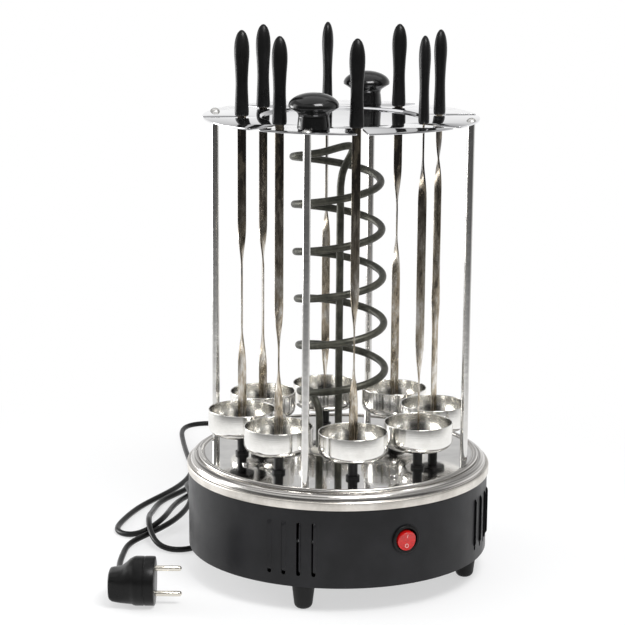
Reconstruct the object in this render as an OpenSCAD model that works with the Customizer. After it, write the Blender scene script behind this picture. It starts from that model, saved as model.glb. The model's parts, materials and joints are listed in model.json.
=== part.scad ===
// Upright electric skewer grill. Eight cups turn on a geared base around a
// tubular heater. Four posts carry a slotted top plate, and a twisted skewer
// stands in each cup. Millimetres, +Z up, origin under the middle of the base.
// Angles about the vertical axis start at the front (-Y) and grow towards +X.

/* [Base] */
// Height of the drum's lower edge above the table
base_z = 20; // [12:1:30]
// Radius of the painted drum
drum_r = 111.5; // [106:0.5:120]
// Height of the drum's upper edge above the table
drum_top_z = 82.6; // [78:0.2:90]
// Thickness of the drum's sheet
drum_wall = 1.2; // [0.8:0.1:1.6]
// Width of the drum's inner bottom flange
flange_w = 6.5; // [5:0.5:9]
// Thickness of the bottom plate
bottom_t = 1.2; // [0.8:0.1:2]
// Loose fit between nested sheets
sheet_gap = 0.2; // [0.1:0.05:0.3]

/* [Vents and switch] */
// Angle of the middle of the first vent group
vent_angle = -17; // [-25:1:-10]
// Angle between neighbouring vents
vent_step = 5.65; // [5:0.05:7]
// Number of vents in a group
vent_count = 4; // [2:1:5]
// Width of a vent
vent_w = 3; // [2:0.5:4]
// Height of the lower end of a vent
vent_z = 28; // [26:1:34]
// Length of a vent
vent_len = 39.5; // [25:0.5:42]
// Angle of the switch
switch_angle = 25.7; // [20:0.1:40]
// Height of the middle of the switch
switch_z = 53.7; // [45:0.1:60]
// Radius of the switch's bezel
bezel_r = 10.5; // [9.8:0.1:12]
// Radius of the switch's barrel
barrel_r = 9.4; // [9.2:0.1:9.6]
// Radius of the round rocker
rocker_r = 7.1; // [6:0.1:7.2]
// Tilt of the rocker to either side
rocker_tilt = 8; // [5:1:8]

/* [Cover] */
// Thickness of the polished cover
cover_t = 0.8; // [0.6:0.1:0.9]
// Height of the cover's skirt
skirt_h = 6.1; // [4:0.1:9]
// Radius of the rounded shoulder
shoulder_r = 5; // [4:0.1:6]
// Height of the cover's floor above the drum's edge
floor_rise = 6.6; // [6:0.1:8]
// Radius of the raised bead's section
bead_r = 1.6; // [1.2:0.1:2]
// Width of the flat step outside the shoulder
step_w = 1.3; // [1:0.1:2]

/* [Feet] */
// Distance of the feet's middle from the outside of the drum
foot_inset = 13.5; // [11:0.5:20]
// Radius of a foot at its top
foot_top_r = 8.2; // [6:0.1:9.5]
// Radius of a foot at its bottom
foot_low_r = 5.6; // [4:0.1:6]
// Radius of the rounding under a foot
foot_round = 2; // [1:0.1:3]

/* [Posts and top plate] */
// Angle of the front post
post_angle = -14; // [-30:1:10]
// Distance of the posts' middle from the outside of the drum
post_inset = 16.2; // [15.5:0.1:20]
// Radius of a post
post_r = 2.75; // [2.5:0.05:3.2]
// Height of the top plate's upper face above the table
plate_z = 340; // [320:1:360]
// Width of the top plate outside the circle of the posts
plate_edge = 4.7; // [4.2:0.1:9]
// Thickness of the top plate
plate_t = 1.2; // [1:0.1:1.6]
// Distance of the stamped recess from the knobs' middle
recess_gap = 19; // [15:0.5:25]
// Depth of the plate's stamped recess
recess_depth = 1.8; // [1:0.1:2.5]
// Width of the plate's slots
slot_w = 7.6; // [7.2:0.1:8.4]
// Distance of the knobs' middle from the circle of the posts
knob_inset = 17.3; // [16.5:0.1:18.5]
// Radius of a knob's cap
knob_r = 17.5; // [15:0.5:18]
// Radius of a knob's stem
knob_stem_r = 11.4; // [9:0.1:12]
// Height of a knob
knob_h = 25; // [22:0.5:30]

/* [Cups and spindles] */
// Outer radius of a cup
cup_r = 25; // [22:0.5:26]
// Height of a cup
cup_h = 19; // [15:0.5:22]
// Height of a cup's underside above the cover's floor
cup_lift = 15.8; // [14:0.1:18]
// Thickness of a cup's sheet
cup_t = 0.8; // [0.6:0.1:1.2]
// Radius of a cup's lower edge
cup_round = 6.5; // [4:0.1:8]
// Radius of a spindle
spindle_r = 3.5; // [3.2:0.1:4]
// Running clearance of a shaft in its bush, on the radius
run_gap = 0.05; // [0.02:0.01:0.08]
// Radius of the socket that holds a skewer's point
socket_r = 6; // [5:0.1:7]
// Height of the socket above the cup's bottom
socket_h = 8; // [6:0.5:10]

/* [Skewers] */
// Width of a skewer's blade
blade_w = 6.2; // [5:0.1:6.4]
// Thickness of a skewer's blade
blade_t = 1.2; // [1:0.1:1.4]
// Length of each of a skewer's two quarter twists
twist_len = 42; // [34:1:48]
// Length of a handle
handle_len = 61; // [50:1:75]
// Greatest half width of a handle
handle_r = 5.4; // [4.6:0.1:6]
// Thickness of a handle as a share of its width
handle_flat = 0.78; // [0.6:0.01:0.9]
// Depth of the blade's tang in the handle
tang_len = 14; // [8:1:25]
// Gap between a handle and the top plate
handle_gap = 0.6; // [0.4:0.1:2]

/* [Heater] */
// Radius of the heater's tube
heater_tube_r = 2.75; // [2.4:0.05:3.2]
// Radius of the coil's centre line
coil_r = 31.6; // [26:0.1:32]
// Rise of the coil in one turn
coil_pitch = 35; // [30:0.5:36]
// Number of turns
coil_turns = 5; // [3:1:5]
// Height of the coil's lower end above the cover's floor
coil_lift = 46; // [42:0.5:52]
// Sideways lean of the coil's top
coil_lean = 6; // [0:0.5:6]
// Distance between the heater's two legs
leg_gap = 14; // [13.5:0.5:16]

/* [Drive] */
// Module of the gears
gear_module = 1.5; // [1.45:0.01:1.55]
// Teeth of the large middle gear
sun_teeth = 72; // [68:1:76]
// Teeth of a spindle's gear
spindle_teeth = 24; // [22:1:26]
// Teeth of the motor's pinion
pinion_teeth = 18; // [17:1:20]
// Play between the teeth
backlash = 0.25; // [0.2:0.01:0.35]
// Height of the gear deck's upper face above the bottom plate
deck_rise = 32.8; // [31:0.2:36]
// Thickness of the gear deck
deck_t = 2; // [1.6:0.1:2.4]
// Thickness of a spindle's gear
gear_t = 8; // [6:0.5:9]
// Thickness of the middle gear
sun_t = 20; // [19:0.5:21]
// Thickness of the middle gear's rim inside its teeth
sun_rim = 8.125; // [6.125:0.5:10.125]
// Radius of the motor
motor_r = 24.5; // [22:0.5:26]
// Height of the motor
motor_h = 21; // [18:0.5:24]

/* [Mains lead] */
// Radius of the lead
lead_r = 2.25; // [2:0.05:2.5]
// Angle of the place where the lead leaves the drum
gland_angle = 195; // [190:1:205]
// Height of the place where the lead leaves the drum
gland_z = 38; // [36:1:40]
// Length of the strain relief outside the drum
relief_len = 30; // [24:1:32]
// Radius of the plug's face
plug_r = 17.75; // [16:0.25:19]
// Thickness of the plug's round part
plug_t = 16; // [14:0.5:18]
// Length of the plug's pins
pin_len = 19; // [17:0.5:20]
// Radius of the plug's pins
pin_r = 2; // [1.8:0.1:2.4]

/* [Hidden] */
$fn = 96;

// Loose fit of screws, sleeves and necks in their holes, on the radius
fit_gap = 0.05;
// Gap under the cover's step, where it rests on the drum's rolled edge
seat_gap = 0.02;
stations = 8;
station_step = 360 / stations;
first_station = post_angle + station_step / 2;
post_count = 4;
post_step = 360 / post_count;

// Circles that follow the drum
foot_circle_r = drum_r - foot_inset;
post_circle_r = drum_r - post_inset;
plate_r = post_circle_r + plate_edge;
knob_circle_r = post_circle_r - knob_inset;
recess_r = knob_circle_r - recess_gap;

// Base
skirt_r = drum_r + sheet_gap + cover_t;
shoulder_z = drum_top_z + cover_t;
floor_z = drum_top_z + floor_rise;
floor_under_z = floor_z - cover_t;
edge_round = 1;
bottom_z = base_z + bottom_t;
drum_in_r = drum_r - drum_wall;
groove_w = 0.9;
deck_z = bottom_z + deck_rise;
deck_r = drum_in_r - 2;

// Gears
sun_pitch_r = gear_module * sun_teeth / 2;
spindle_pitch_r = gear_module * spindle_teeth / 2;
pinion_pitch_r = gear_module * pinion_teeth / 2;
cup_circle_r = sun_pitch_r + spindle_pitch_r;
motor_circle_r = sun_pitch_r + pinion_pitch_r;
motor_angle = post_angle + 2 * post_step;
pressure_angle = 20;
sun_z = deck_z + 4;
mesh_gap = 2;
spindle_gear_z = sun_z + sun_t - gear_t;
pinion_t = sun_t - gear_t - mesh_gap;
hub_r = sun_pitch_r - 1.25 * gear_module - sun_rim;
hub_wall = 6;
hub_flange_t = sun_z - deck_z - 0.1;
hub_flange_r = hub_r + 6;

// Spindles, bushes and pillars
bush_r = 5;
bush_flange_r = 7.5;
bush_flange_t = 2;
bush_collar_h = 2.2;
journal_r = spindle_r - 0.5;
spindle_hub_r = 5;
cup_flange_r = 9;
cup_flange_t = 2;
cup_z = floor_z + cup_lift;
pillar_r = 4;
pillar_circle_r = cup_circle_r + 6;
spigot_r = 2;
spigot_h = 8;

// Screws: shank radius, head radius, head height and depth of thread
screw_r = 1.5;
screw_head_r = 2.8;
screw_head_h = 1.7;
thread_depth = 9;
dome_head_r = 3.6;
dome_head_h = 2.2;
rim_screw_r = drum_in_r - 3.3;

// Skewers
tip_gap = 0.3;
pocket_floor = 2;
tip_z = cup_z + pocket_floor + tip_gap;
handle_z = plate_z + handle_gap;
tang_top_z = handle_z + tang_len;
pocket_gap = 0.2;
tang_gap = 0.05;
// Way that each skewer's broad face has stopped, 0 facing the front
skewer_turn = [0, 90, 50, 0, 80, 10, 0, 0];
// Depth below the top plate of the middle of each skewer's upper and lower twist
twist_upper = [125, 44, 34, 56, 90, 100, 89, 140];
twist_lower = [187, 168, 139, 116, 192, 190, 173, 191];

// Heater
heater_x = -leg_gap / 2;
heater_hole_r = 15;
bracket_r = 24;
bracket_t = 1.2;
leg_end_z = floor_z - 24;
pin_end_z = leg_end_z - 8;
coil_z = floor_z + coil_lift;
coil_end_z = coil_z + coil_turns * coil_pitch;
heater_sides = 6;
turn_steps = 24;

// Lead: its route, chosen by hand, from the strain relief to the plug
plug_x = -129.5;
plug_y = -92;
collar_x = plug_x - 28.5;
collar_y = plug_y + 20;
lead_z = 2.3;
lead_out = [for (d = [0, 9]) [(drum_r + relief_len + d) * sin(gland_angle),
    -(drum_r + relief_len + d) * cos(gland_angle), gland_z]];
lead_route = concat(lead_out, [
    [-43, 162, 32], [-51, 192, 10], [-57, 222, lead_z],
    [-64, 255, lead_z], [-82, 325, lead_z], [-94, 394, lead_z],
    [-149, 390, lead_z], [-142, 334, lead_z], [-134, 281, lead_z], [-123, 230, lead_z],
    [-135, 180, lead_z], [-161, 136, lead_z], [-172, 95, lead_z], [-177, 64, lead_z],
    [-155, 51, lead_z], [-132, 67, 16], [-135, 154, lead_z], [-74, 193, 14],
    [-74, 236, lead_z], [-115, 240, lead_z], [-121, 184, lead_z], [-148, 149, lead_z],
    [-150, 111, lead_z], [-149, 58, 18.2], [-141, 23, lead_z], [-112, 19, lead_z],
    [-93, 54, lead_z], [-82, 106, lead_z], [-78, 161, lead_z], [-104, 190, lead_z],
    [-133, 173, 12], [-114, 127, 12.5], [-128, 66, 9], [-161, 39, 3.5],
    [-163, 18, lead_z], [-164, -14, lead_z], [-160, -42, 2.4],
    [collar_x, collar_y + 11, plug_r], [collar_x, collar_y, plug_r]]);
lead_sides = 8;
lead_steps = 2;

// Feet, strain relief and plug
foot_neck_r = 3;
foot_head_r = 4.5;
foot_head_h = 2;
relief_neck_r = 4.5;
relief_in = drum_in_r - 4;
pin_gap = 19;
pin_depth = 12;
pin_step = 0.5;

// Motor, heater and terminal block
motor_shaft_r = 3;
ear_angle = 60;
ear_r = motor_r + 5.5;
ear_t = 1.2;
bracket_screw_y = 19.5;
sleeve_r = 4.5;
block_x = -12;
block_y = 30;
block_size = [36, 20, 16];
block_pitch = 9;
wire_r = 1.3;

// Switch
bezel_t = 1.8;
well_r = 8.2;
well_depth = 9;
pillar_clearance = 7.5;
barrel_len = drum_r - pillar_circle_r - pillar_r - pillar_clearance;
pivot_depth = 5;
pivot_r = 1.2;

// Direction of a horizontal angle, and a place on a circle
function heading(a) = [sin(a), -cos(a)];
function unit(v) = v / norm(v);

// Stands children at an angle and radius, with +X pointing outwards
module spot(angle, radius = 0) {
    rotate([0, 0, angle - 90]) translate([radius, 0, 0]) children();
}

// Stands children at each of the cups, posts or pillars
module at_cups() {
    for (k = [0 : stations - 1]) spot(first_station + k * station_step, cup_circle_r) children();
}
module at_posts(radius) {
    for (k = [0 : post_count - 1]) spot(post_angle + k * post_step, radius) children();
}
module at_pillars(radius) {
    for (k = [0 : post_count - 1]) spot(post_angle + (k + 0.5) * post_step, radius) children();
}

// Points of an arc, from one angle to another
function arc(centre, radius, from, to, steps) =
    [for (i = [0 : steps]) centre + radius * [cos(from + (to - from) * i / steps),
        sin(from + (to - from) * i / steps)]];

// A line of points moved sideways, to the right of its direction
function side_step(line, distance) = [for (i = [0 : len(line) - 1])
    let (before = line[max(i - 1, 0)], after = line[min(i + 1, len(line) - 1)],
        along = unit(after - before))
    line[i] + distance * [along[1], -along[0]]];

// Uniform cubic B-spline through a list of control points, ends clamped
function spline_point(p, i, t) = ((1 - t) ^ 3 * p[i] + (3 * t ^ 3 - 6 * t ^ 2 + 4) * p[i + 1]
    + (-3 * t ^ 3 + 3 * t ^ 2 + 3 * t + 1) * p[i + 2] + t ^ 3 * p[i + 3]) / 6;
function spline(points, steps) = let (n = len(points),
    p = concat([2 * points[0] - points[1]], points, [2 * points[n - 1] - points[n - 2]]))
    concat([for (i = [0 : n - 2]) for (j = [0 : steps - 1]) spline_point(p, i, j / steps)],
        [points[n - 1]]);

// Tangents of a path, and side vectors carried along it without twisting
function tangents(path) = [for (i = [0 : len(path) - 1])
    unit(path[min(i + 1, len(path) - 1)] - path[max(i - 1, 0)])];
function across(v, t) = unit(v - (v * t) * t);
function side_vectors(t, start) = [for (i = 0, v = across(start, t[0]); i < len(t);
    i = i + 1, v = i < len(t) ? across(v, t[i]) : v) v];

// Tube swept along a path as one closed polyhedron
module tube(path, radius, sides, start) {
    t = tangents(path);
    u = side_vectors(t, start);
    last = len(path) - 1;
    points = [for (i = [0 : last]) let (w = cross(t[i], u[i])) for (j = [0 : sides - 1])
        path[i] + radius * (cos(360 * j / sides) * u[i] + sin(360 * j / sides) * w)];
    walls = [for (i = [0 : last - 1]) for (j = [0 : sides - 1])
        let (a = i * sides + j, b = i * sides + (j + 1) % sides)
        each [[a, a + sides, b], [b, a + sides, b + sides]]];
    ends = [for (j = [1 : sides - 2]) each [[0, j, j + 1],
        [last * sides, last * sides + j + 1, last * sides + j]]];
    polyhedron(points, concat(walls, ends));
}

// Spur gear of a module, with involute flanks
function involute(angle) = tan(angle) * 180 / PI - angle;
function tooth_half(pitch_r, teeth, r) = let (base_r = pitch_r * cos(pressure_angle))
    90 / teeth - backlash / 4 / pitch_r * 180 / PI + involute(pressure_angle)
    - involute(acos(min(1, base_r / max(r, base_r))));
module gear(teeth, thickness, bore_r) {
    pitch_r = gear_module * teeth / 2;
    radii = [pitch_r - 1.25 * gear_module, pitch_r - 0.55 * gear_module, pitch_r,
        pitch_r + 0.5 * gear_module, pitch_r + 0.95 * gear_module];
    outline = [for (k = [0 : teeth - 1]) each concat(
        [for (r = radii) let (a = (k * 360 / teeth) - tooth_half(pitch_r, teeth, r))
            r * [cos(a), sin(a)]],
        [for (i = [len(radii) - 1 : -1 : 0]) let (r = radii[i],
            a = (k * 360 / teeth) + tooth_half(pitch_r, teeth, r)) r * [cos(a), sin(a)]])];
    difference() {
        linear_extrude(thickness) polygon(outline);
        if (bore_r > 0) translate([0, 0, -1]) cylinder(r = bore_r, h = thickness + 2);
    }
}
// Turn that puts a gear in mesh with the middle gear, seen from an angle
function mesh_turn(angle, teeth) = 180 + 180 / teeth
    + sun_teeth / teeth * (angle - first_station);

// Screw with a shank up to z = 0 and its head above
module pan_screw(length) {
    translate([0, 0, -length]) cylinder(r = screw_r, h = length + 0.01);
    rotate_extrude() polygon(concat([[0, 0], [screw_head_r, 0]],
        arc([screw_head_r - 0.7, screw_head_h - 0.7], 0.7, 0, 90, 4), [[0, screw_head_h]]));
}
module hole(radius, from, to) {
    translate([0, 0, from]) cylinder(r = radius, h = to - from);
}

// Painted drum with vents, a switch hole, a lead hole and an inner flange
module base_drum() {
    color([0.05, 0.05, 0.055]) difference() {
        rotate_extrude() polygon([[drum_in_r, bottom_z], [drum_in_r, base_z], [drum_r, base_z],
            [drum_r, drum_top_z - seat_gap], [drum_in_r, drum_top_z - seat_gap],
            [drum_in_r, bottom_z + bottom_t],
            [drum_in_r - flange_w, bottom_z + bottom_t], [drum_in_r - flange_w, bottom_z]]);
        for (k = [0 : post_count - 1]) for (i = [0 : vent_count - 1])
            spot(vent_angle + k * post_step + (i - (vent_count - 1) / 2) * vent_step, drum_r)
                vent_cut();
        spot(switch_angle, drum_r) translate([0, 0, switch_z]) rotate([0, 90, 0])
            hole(barrel_r + fit_gap, -6, 6);
        spot(gland_angle, drum_r) translate([0, 0, gland_z]) rotate([0, 90, 0])
            hole(relief_neck_r + fit_gap, -6, 6);
        at_pillars(rim_screw_r) hole(screw_r + fit_gap, bottom_z - 1, bottom_z + bottom_t + 1);
    }
}
module vent_cut() {
    translate([0, 0, vent_z + vent_w / 2]) rotate([0, 90, 0]) hole(vent_w / 2, -5, 5);
    translate([0, 0, vent_z + vent_len - vent_w / 2]) rotate([0, 90, 0])
        hole(vent_w / 2, -5, 5);
    translate([-5, -vent_w / 2, vent_z + vent_w / 2]) cube([10, vent_w, vent_len - vent_w]);
}

// Flat plate that closes the drum from below
module bottom_plate() {
    color([0.3, 0.3, 0.32]) difference() {
        hole(drum_in_r - sheet_gap, base_z, bottom_z);
        at_pillars(rim_screw_r) hole(screw_r + fit_gap, base_z - 1, bottom_z + 1);
        at_pillars(pillar_circle_r) hole(screw_r + fit_gap, base_z - 1, bottom_z + 1);
        at_posts(foot_circle_r) hole(foot_neck_r + fit_gap, base_z - 1, bottom_z + 1);
    }
}

// Four tapered rubber feet, each with a neck and a head above the plate
module feet() {
    color([0.04, 0.04, 0.04]) at_posts(foot_circle_r) rotate_extrude()
        polygon(concat([[0, 0]], arc([foot_low_r - foot_round, foot_round], foot_round, -90, -8, 6),
            [[foot_top_r, base_z - 3], [foot_top_r, base_z], [foot_neck_r, base_z],
            [foot_neck_r, bottom_z], [foot_head_r, bottom_z],
            [foot_head_r - 1, bottom_z + foot_head_h], [0, bottom_z + foot_head_h]]));
}

// Polished cover: skirt, step, rolled shoulder, groove, bead and mirror floor
roll_r = skirt_r - edge_round - step_w;
bead_x = roll_r - shoulder_r - groove_w - bead_r;
bead_z = floor_z - 0.2;
cover_outline = concat([[skirt_r, shoulder_z - skirt_h]],
    arc([skirt_r - edge_round, shoulder_z - edge_round], edge_round, 0, 90, 4),
    arc([roll_r - shoulder_r, shoulder_z], shoulder_r, 0, 90, 9),
    arc([bead_x, bead_z], bead_r, -30, 172, 12), [[bead_x - 2 * bead_r, floor_z]]);
cover_under = side_step(cover_outline, -cover_t);
module top_cover() {
    under = [for (i = [len(cover_under) - 2 : -1 : 1]) cover_under[i]];
    color([0.75, 0.74, 0.72]) difference() {
        rotate_extrude() polygon(concat(cover_outline, [[0, floor_z], [0, floor_under_z],
            [bead_x - 2 * bead_r, floor_under_z]], under,
            [[skirt_r - cover_t, shoulder_z - skirt_h]]));
        at_cups() hole(bush_r + fit_gap, floor_z - 5, floor_z + 5);
        at_posts(post_circle_r) hole(screw_r + fit_gap, floor_z - 5, floor_z + 5);
        at_pillars(pillar_circle_r) hole(screw_r + fit_gap, floor_z - 5, floor_z + 5);
        translate([heater_x, 0, 0]) {
            hole(heater_hole_r, floor_z - 5, floor_z + 5);
            for (s = [-1, 1]) translate([0, s * bracket_screw_y, 0])
                hole(screw_r + fit_gap, floor_z - 5, floor_z + 5);
        }
    }
}

// Steel deck that carries the gears, notched for the barrel of the switch
module gear_deck() {
    notch_w = 2 * barrel_r + 3;
    color([0.6, 0.6, 0.62]) difference() {
        hole(deck_r, deck_z - deck_t, deck_z);
        spot(switch_angle, drum_r - barrel_len - 2) translate([0, -notch_w / 2, deck_z - 5])
            cube([barrel_len + 2, notch_w, 6]);
        at_cups() hole(bush_r - 0.5 + fit_gap, deck_z - 5, deck_z + 1);
        at_pillars(pillar_circle_r) hole(spigot_r + fit_gap, deck_z - 5, deck_z + 1);
        hole(hub_r - hub_wall, deck_z - 5, deck_z + 1);
        spot(motor_angle, motor_circle_r) {
            hole(motor_shaft_r + 1, deck_z - 5, deck_z + 1);
            at_motor_ears() hole(screw_r + fit_gap, deck_z - 5, deck_z + 1);
        }
    }
}

// Lower and upper pillars, stacked through the deck by a spigot
module pillars() {
    color([0.7, 0.7, 0.7]) at_pillars(pillar_circle_r) {
        difference() {
            union() {
                hole(pillar_r, bottom_z, deck_z - deck_t);
                hole(spigot_r, deck_z - deck_t - 1, deck_z + spigot_h - 1);
            }
            hole(screw_r + fit_gap, bottom_z - 1, bottom_z + thread_depth);
        }
        difference() {
            hole(pillar_r, deck_z, floor_under_z);
            hole(spigot_r + fit_gap, deck_z - 1, deck_z + spigot_h);
            hole(screw_r + fit_gap, floor_under_z - thread_depth, floor_under_z + 1);
        }
    }
}

// Fixed ring that the middle gear turns on
module hub_ring() {
    color([0.85, 0.84, 0.78]) rotate_extrude() polygon([[hub_r - hub_wall, deck_z],
        [hub_flange_r, deck_z], [hub_flange_r, deck_z + hub_flange_t],
        [hub_r, deck_z + hub_flange_t], [hub_r, sun_z + sun_t + 2],
        [hub_r - hub_wall, sun_z + sun_t + 2]]);
}
module sun_gear() {
    color([0.9, 0.88, 0.8]) translate([0, 0, sun_z]) rotate([0, 0, first_station - 90])
        gear(sun_teeth, sun_t, hub_r + run_gap);
}

// Bushes that guide each spindle at the deck and at the cover's floor
module spindle_bushes() {
    color([0.06, 0.06, 0.06]) at_cups() {
        difference() {
            union() {
                hole(bush_r - 0.5, deck_z - deck_t, deck_z + 1);
                hole(bush_r + 1, deck_z, deck_z + 1.5);
            }
            hole(journal_r + run_gap, deck_z - 5, deck_z + 5);
        }
        difference() {
            union() {
                hole(bush_r, floor_under_z - 1, floor_z + bush_collar_h);
                hole(bush_flange_r, floor_under_z - bush_flange_t, floor_under_z);
            }
            hole(spindle_r + run_gap, floor_z - 6, floor_z + 6);
        }
    }
}

// Slow motor below the deck, with two ears
module at_motor_ears() {
    for (s = [0, 180]) rotate([0, 0, ear_angle + s]) translate([ear_r, 0, 0]) children();
}
module motor() {
    top_z = deck_z - deck_t;
    end_r = 4;
    color([0.72, 0.72, 0.74]) spot(motor_angle, motor_circle_r) difference() {
        union() {
            hole(motor_r, top_z - motor_h, top_z);
            at_motor_ears() hole(end_r, top_z - ear_t, top_z);
            rotate([0, 0, ear_angle]) translate([-ear_r, -end_r, top_z - ear_t])
                cube([2 * ear_r, 2 * end_r, ear_t]);
        }
        hole(motor_shaft_r + run_gap, top_z - 12, top_z + 1);
        at_motor_ears() hole(screw_r + fit_gap, top_z - 5, top_z + 1);
    }
}
module motor_pinion() {
    color([0.9, 0.88, 0.8]) spot(motor_angle, motor_circle_r) {
        hole(motor_shaft_r, deck_z - deck_t - 11, sun_z + 1);
        translate([0, 0, sun_z + 0.5]) rotate([0, 0, mesh_turn(motor_angle, pinion_teeth)])
            gear(pinion_teeth, pinion_t, 0);
    }
}

// Pan-head screws: drum rim, pillars, posts, bracket and knobs
module pan_screws() {
    color([0.8, 0.8, 0.8]) {
        at_pillars(rim_screw_r) translate([0, 0, base_z]) mirror([0, 0, 1]) pan_screw(4);
        at_pillars(pillar_circle_r) {
            translate([0, 0, base_z]) mirror([0, 0, 1]) pan_screw(thread_depth);
            translate([0, 0, floor_z]) pan_screw(thread_depth);
        }
        at_posts(post_circle_r) translate([0, 0, floor_under_z]) mirror([0, 0, 1])
            pan_screw(thread_depth);
        for (s = [-1, 1]) translate([heater_x, s * bracket_screw_y, floor_z]) pan_screw(3.5);
        spot(motor_angle, motor_circle_r) at_motor_ears()
            translate([0, 0, deck_z]) pan_screw(5);
        for (s = [0, 180]) spot(post_angle + s, knob_circle_r)
            translate([0, 0, plate_z - plate_t]) mirror([0, 0, 1]) pan_screw(thread_depth);
    }
}

// Four posts with a threaded hole in each end
module posts() {
    color([0.8, 0.8, 0.8]) at_posts(post_circle_r) difference() {
        hole(post_r, floor_z, plate_z - plate_t);
        hole(screw_r + fit_gap, floor_z - 1, floor_z + thread_depth);
        hole(screw_r + fit_gap, plate_z - plate_t - thread_depth, plate_z);
    }
}
module dome_screws() {
    dome_r = (dome_head_r ^ 2 + dome_head_h ^ 2) / (2 * dome_head_h);
    half = asin(dome_head_r / dome_r);
    color([0.85, 0.85, 0.85]) at_posts(post_circle_r) translate([0, 0, plate_z]) {
        rotate_extrude() polygon(concat([[0, 0]],
            arc([0, dome_head_h - dome_r], dome_r, 90 - half, 90, 8)));
        hole(screw_r, -thread_depth, 0.01);
    }
}

// Polished top plate: stamped recess, eight open slots and screw holes
module top_plate() {
    slope = recess_depth * 0.8;
    under_z = plate_z - plate_t;
    color([0.82, 0.82, 0.83]) difference() {
        rotate_extrude() polygon([[0, plate_z - recess_depth],
            [recess_r - slope, plate_z - recess_depth], [recess_r, plate_z], [plate_r, plate_z],
            [plate_r, under_z], [recess_r - slope * 0.3, under_z],
            [recess_r - slope * 1.3, under_z - recess_depth], [0, under_z - recess_depth]]);
        at_cups() {
            hole(slot_w / 2, under_z - 1, plate_z + 1);
            translate([0, -slot_w / 2, under_z - 1]) cube([plate_r, slot_w, plate_t + 2]);
        }
        at_posts(post_circle_r) hole(screw_r + fit_gap, under_z - 1, plate_z + 1);
        for (s = [0, 180]) spot(post_angle + s, knob_circle_r)
            hole(screw_r + fit_gap, under_z - 1, plate_z + 1);
    }
}

// Two mushroom knobs with a screw hole from below
module knobs() {
    rim_z = knob_h * 0.63;
    color([0.03, 0.03, 0.03]) for (s = [0, 180]) spot(post_angle + s, knob_circle_r)
        translate([0, 0, plate_z]) difference() {
            rotate_extrude() polygon(concat([[0, 0], [knob_stem_r, 0], [knob_stem_r, 1]],
                arc([knob_stem_r + 3, rim_z * 0.55], 3.8, 200, 115, 6),
                [[knob_r - 0.5, rim_z - 0.6]],
                [for (t = [0 : 9 : 90]) [knob_r * cos(t), rim_z + (knob_h - rim_z) * sin(t)]]));
            hole(screw_r + fit_gap, -1, thread_depth);
        }
}

// Coil of the tubular heater: a leg up the middle, a hook, turns down, a leg
function coil_point(turn, radius) = let (share = turn / coil_turns)
    [radius * sin(360 * turn - 90) + coil_lean * (0.5 - share),
    -radius * cos(360 * turn - 90), coil_z + coil_pitch * turn];
heater_path = concat(
    [[-leg_gap, 0, leg_end_z], [-leg_gap, 0, leg_end_z + 12]],
    spline([[-leg_gap, 0, floor_z + 6], [-leg_gap, 0, floor_z + 20], [-leg_gap, 1, coil_z - 14],
        [-leg_gap - 5, 5, coil_z - 5],
        coil_point(-0.1, coil_r - 2), coil_point(-0.04, coil_r)], 4),
    [for (i = [0 : turn_steps * coil_turns]) coil_point(i / turn_steps, coil_r)],
    spline([coil_point(coil_turns + 0.06, coil_r - 0.6), coil_point(coil_turns + 0.13, coil_r - 5),
        [-12, -20, coil_end_z + 6], [4, -9, coil_end_z + 10], [10, -1, coil_end_z + 8],
        [7, 3, coil_end_z], [1, 1, coil_end_z - 10], [0, 0, coil_end_z - 22]], 4),
    [for (s = [0.9 : -0.1 : 0]) [0, 0, leg_end_z + (coil_end_z - 22 - leg_end_z) * s]]);
module heater_coil() {
    color([0.2, 0.2, 0.17]) {
        tube(heater_path, heater_tube_r, heater_sides, [1, 0, 0]);
        for (x = [0, -leg_gap]) translate([x, 0, 0]) hole(1.2, pin_end_z, leg_end_z + 1);
    }
}
// Least gap of the heater's tube to itself, between points 8 radii apart along it
function lengths(path) = [for (i = 0, s = 0; i < len(path); i = i + 1,
    s = i < len(path) ? s + norm(path[i] - path[i - 1]) : s) s];
function self_gap(path, radius) = let (s = lengths(path)) min([for (i = [0 : len(path) - 2])
    for (j = [i + 1 : len(path) - 1]) if (s[j] - s[i] > 8 * radius) norm(path[i] - path[j])])
    - 2 * radius;
echo(heater_gap = self_gap(heater_path, heater_tube_r));

// Disc under the cover's hole and the ceramic sleeves of the two legs
module heater_bracket() {
    color([0.7, 0.7, 0.7]) translate([heater_x, 0, 0]) difference() {
        hole(bracket_r, floor_under_z - bracket_t, floor_under_z);
        for (s = [-1, 1]) {
            translate([s * leg_gap / 2, 0, 0])
                hole(sleeve_r + fit_gap, floor_under_z - 5, floor_z);
            translate([0, s * bracket_screw_y, 0])
                hole(screw_r + fit_gap, floor_under_z - 5, floor_z);
        }
    }
}
module heater_insulators() {
    color([0.92, 0.9, 0.85]) for (x = [0, -leg_gap]) translate([x, 0, 0]) difference() {
        union() {
            hole(sleeve_r, floor_under_z - 7, floor_z + 3);
            hole(sleeve_r + 1.8, floor_under_z, floor_under_z + 2.2);
        }
        hole(heater_tube_r + fit_gap, floor_under_z - 10, floor_z + 10);
    }
}

// Ceramic terminal block on the bottom plate, with four wire entries on top
entry_depth = 5;
module terminal_block() {
    color([0.9, 0.88, 0.84]) translate([block_x, block_y, bottom_z]) difference() {
        translate([-block_size[0] / 2, -block_size[1] / 2, 0]) cube(block_size);
        for (i = [0 : 3]) translate([block_pitch * (i - 1.5), 0, 0])
            hole(wire_r + 0.3, block_size[2] - entry_depth, block_size[2] + 1);
    }
}

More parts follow.
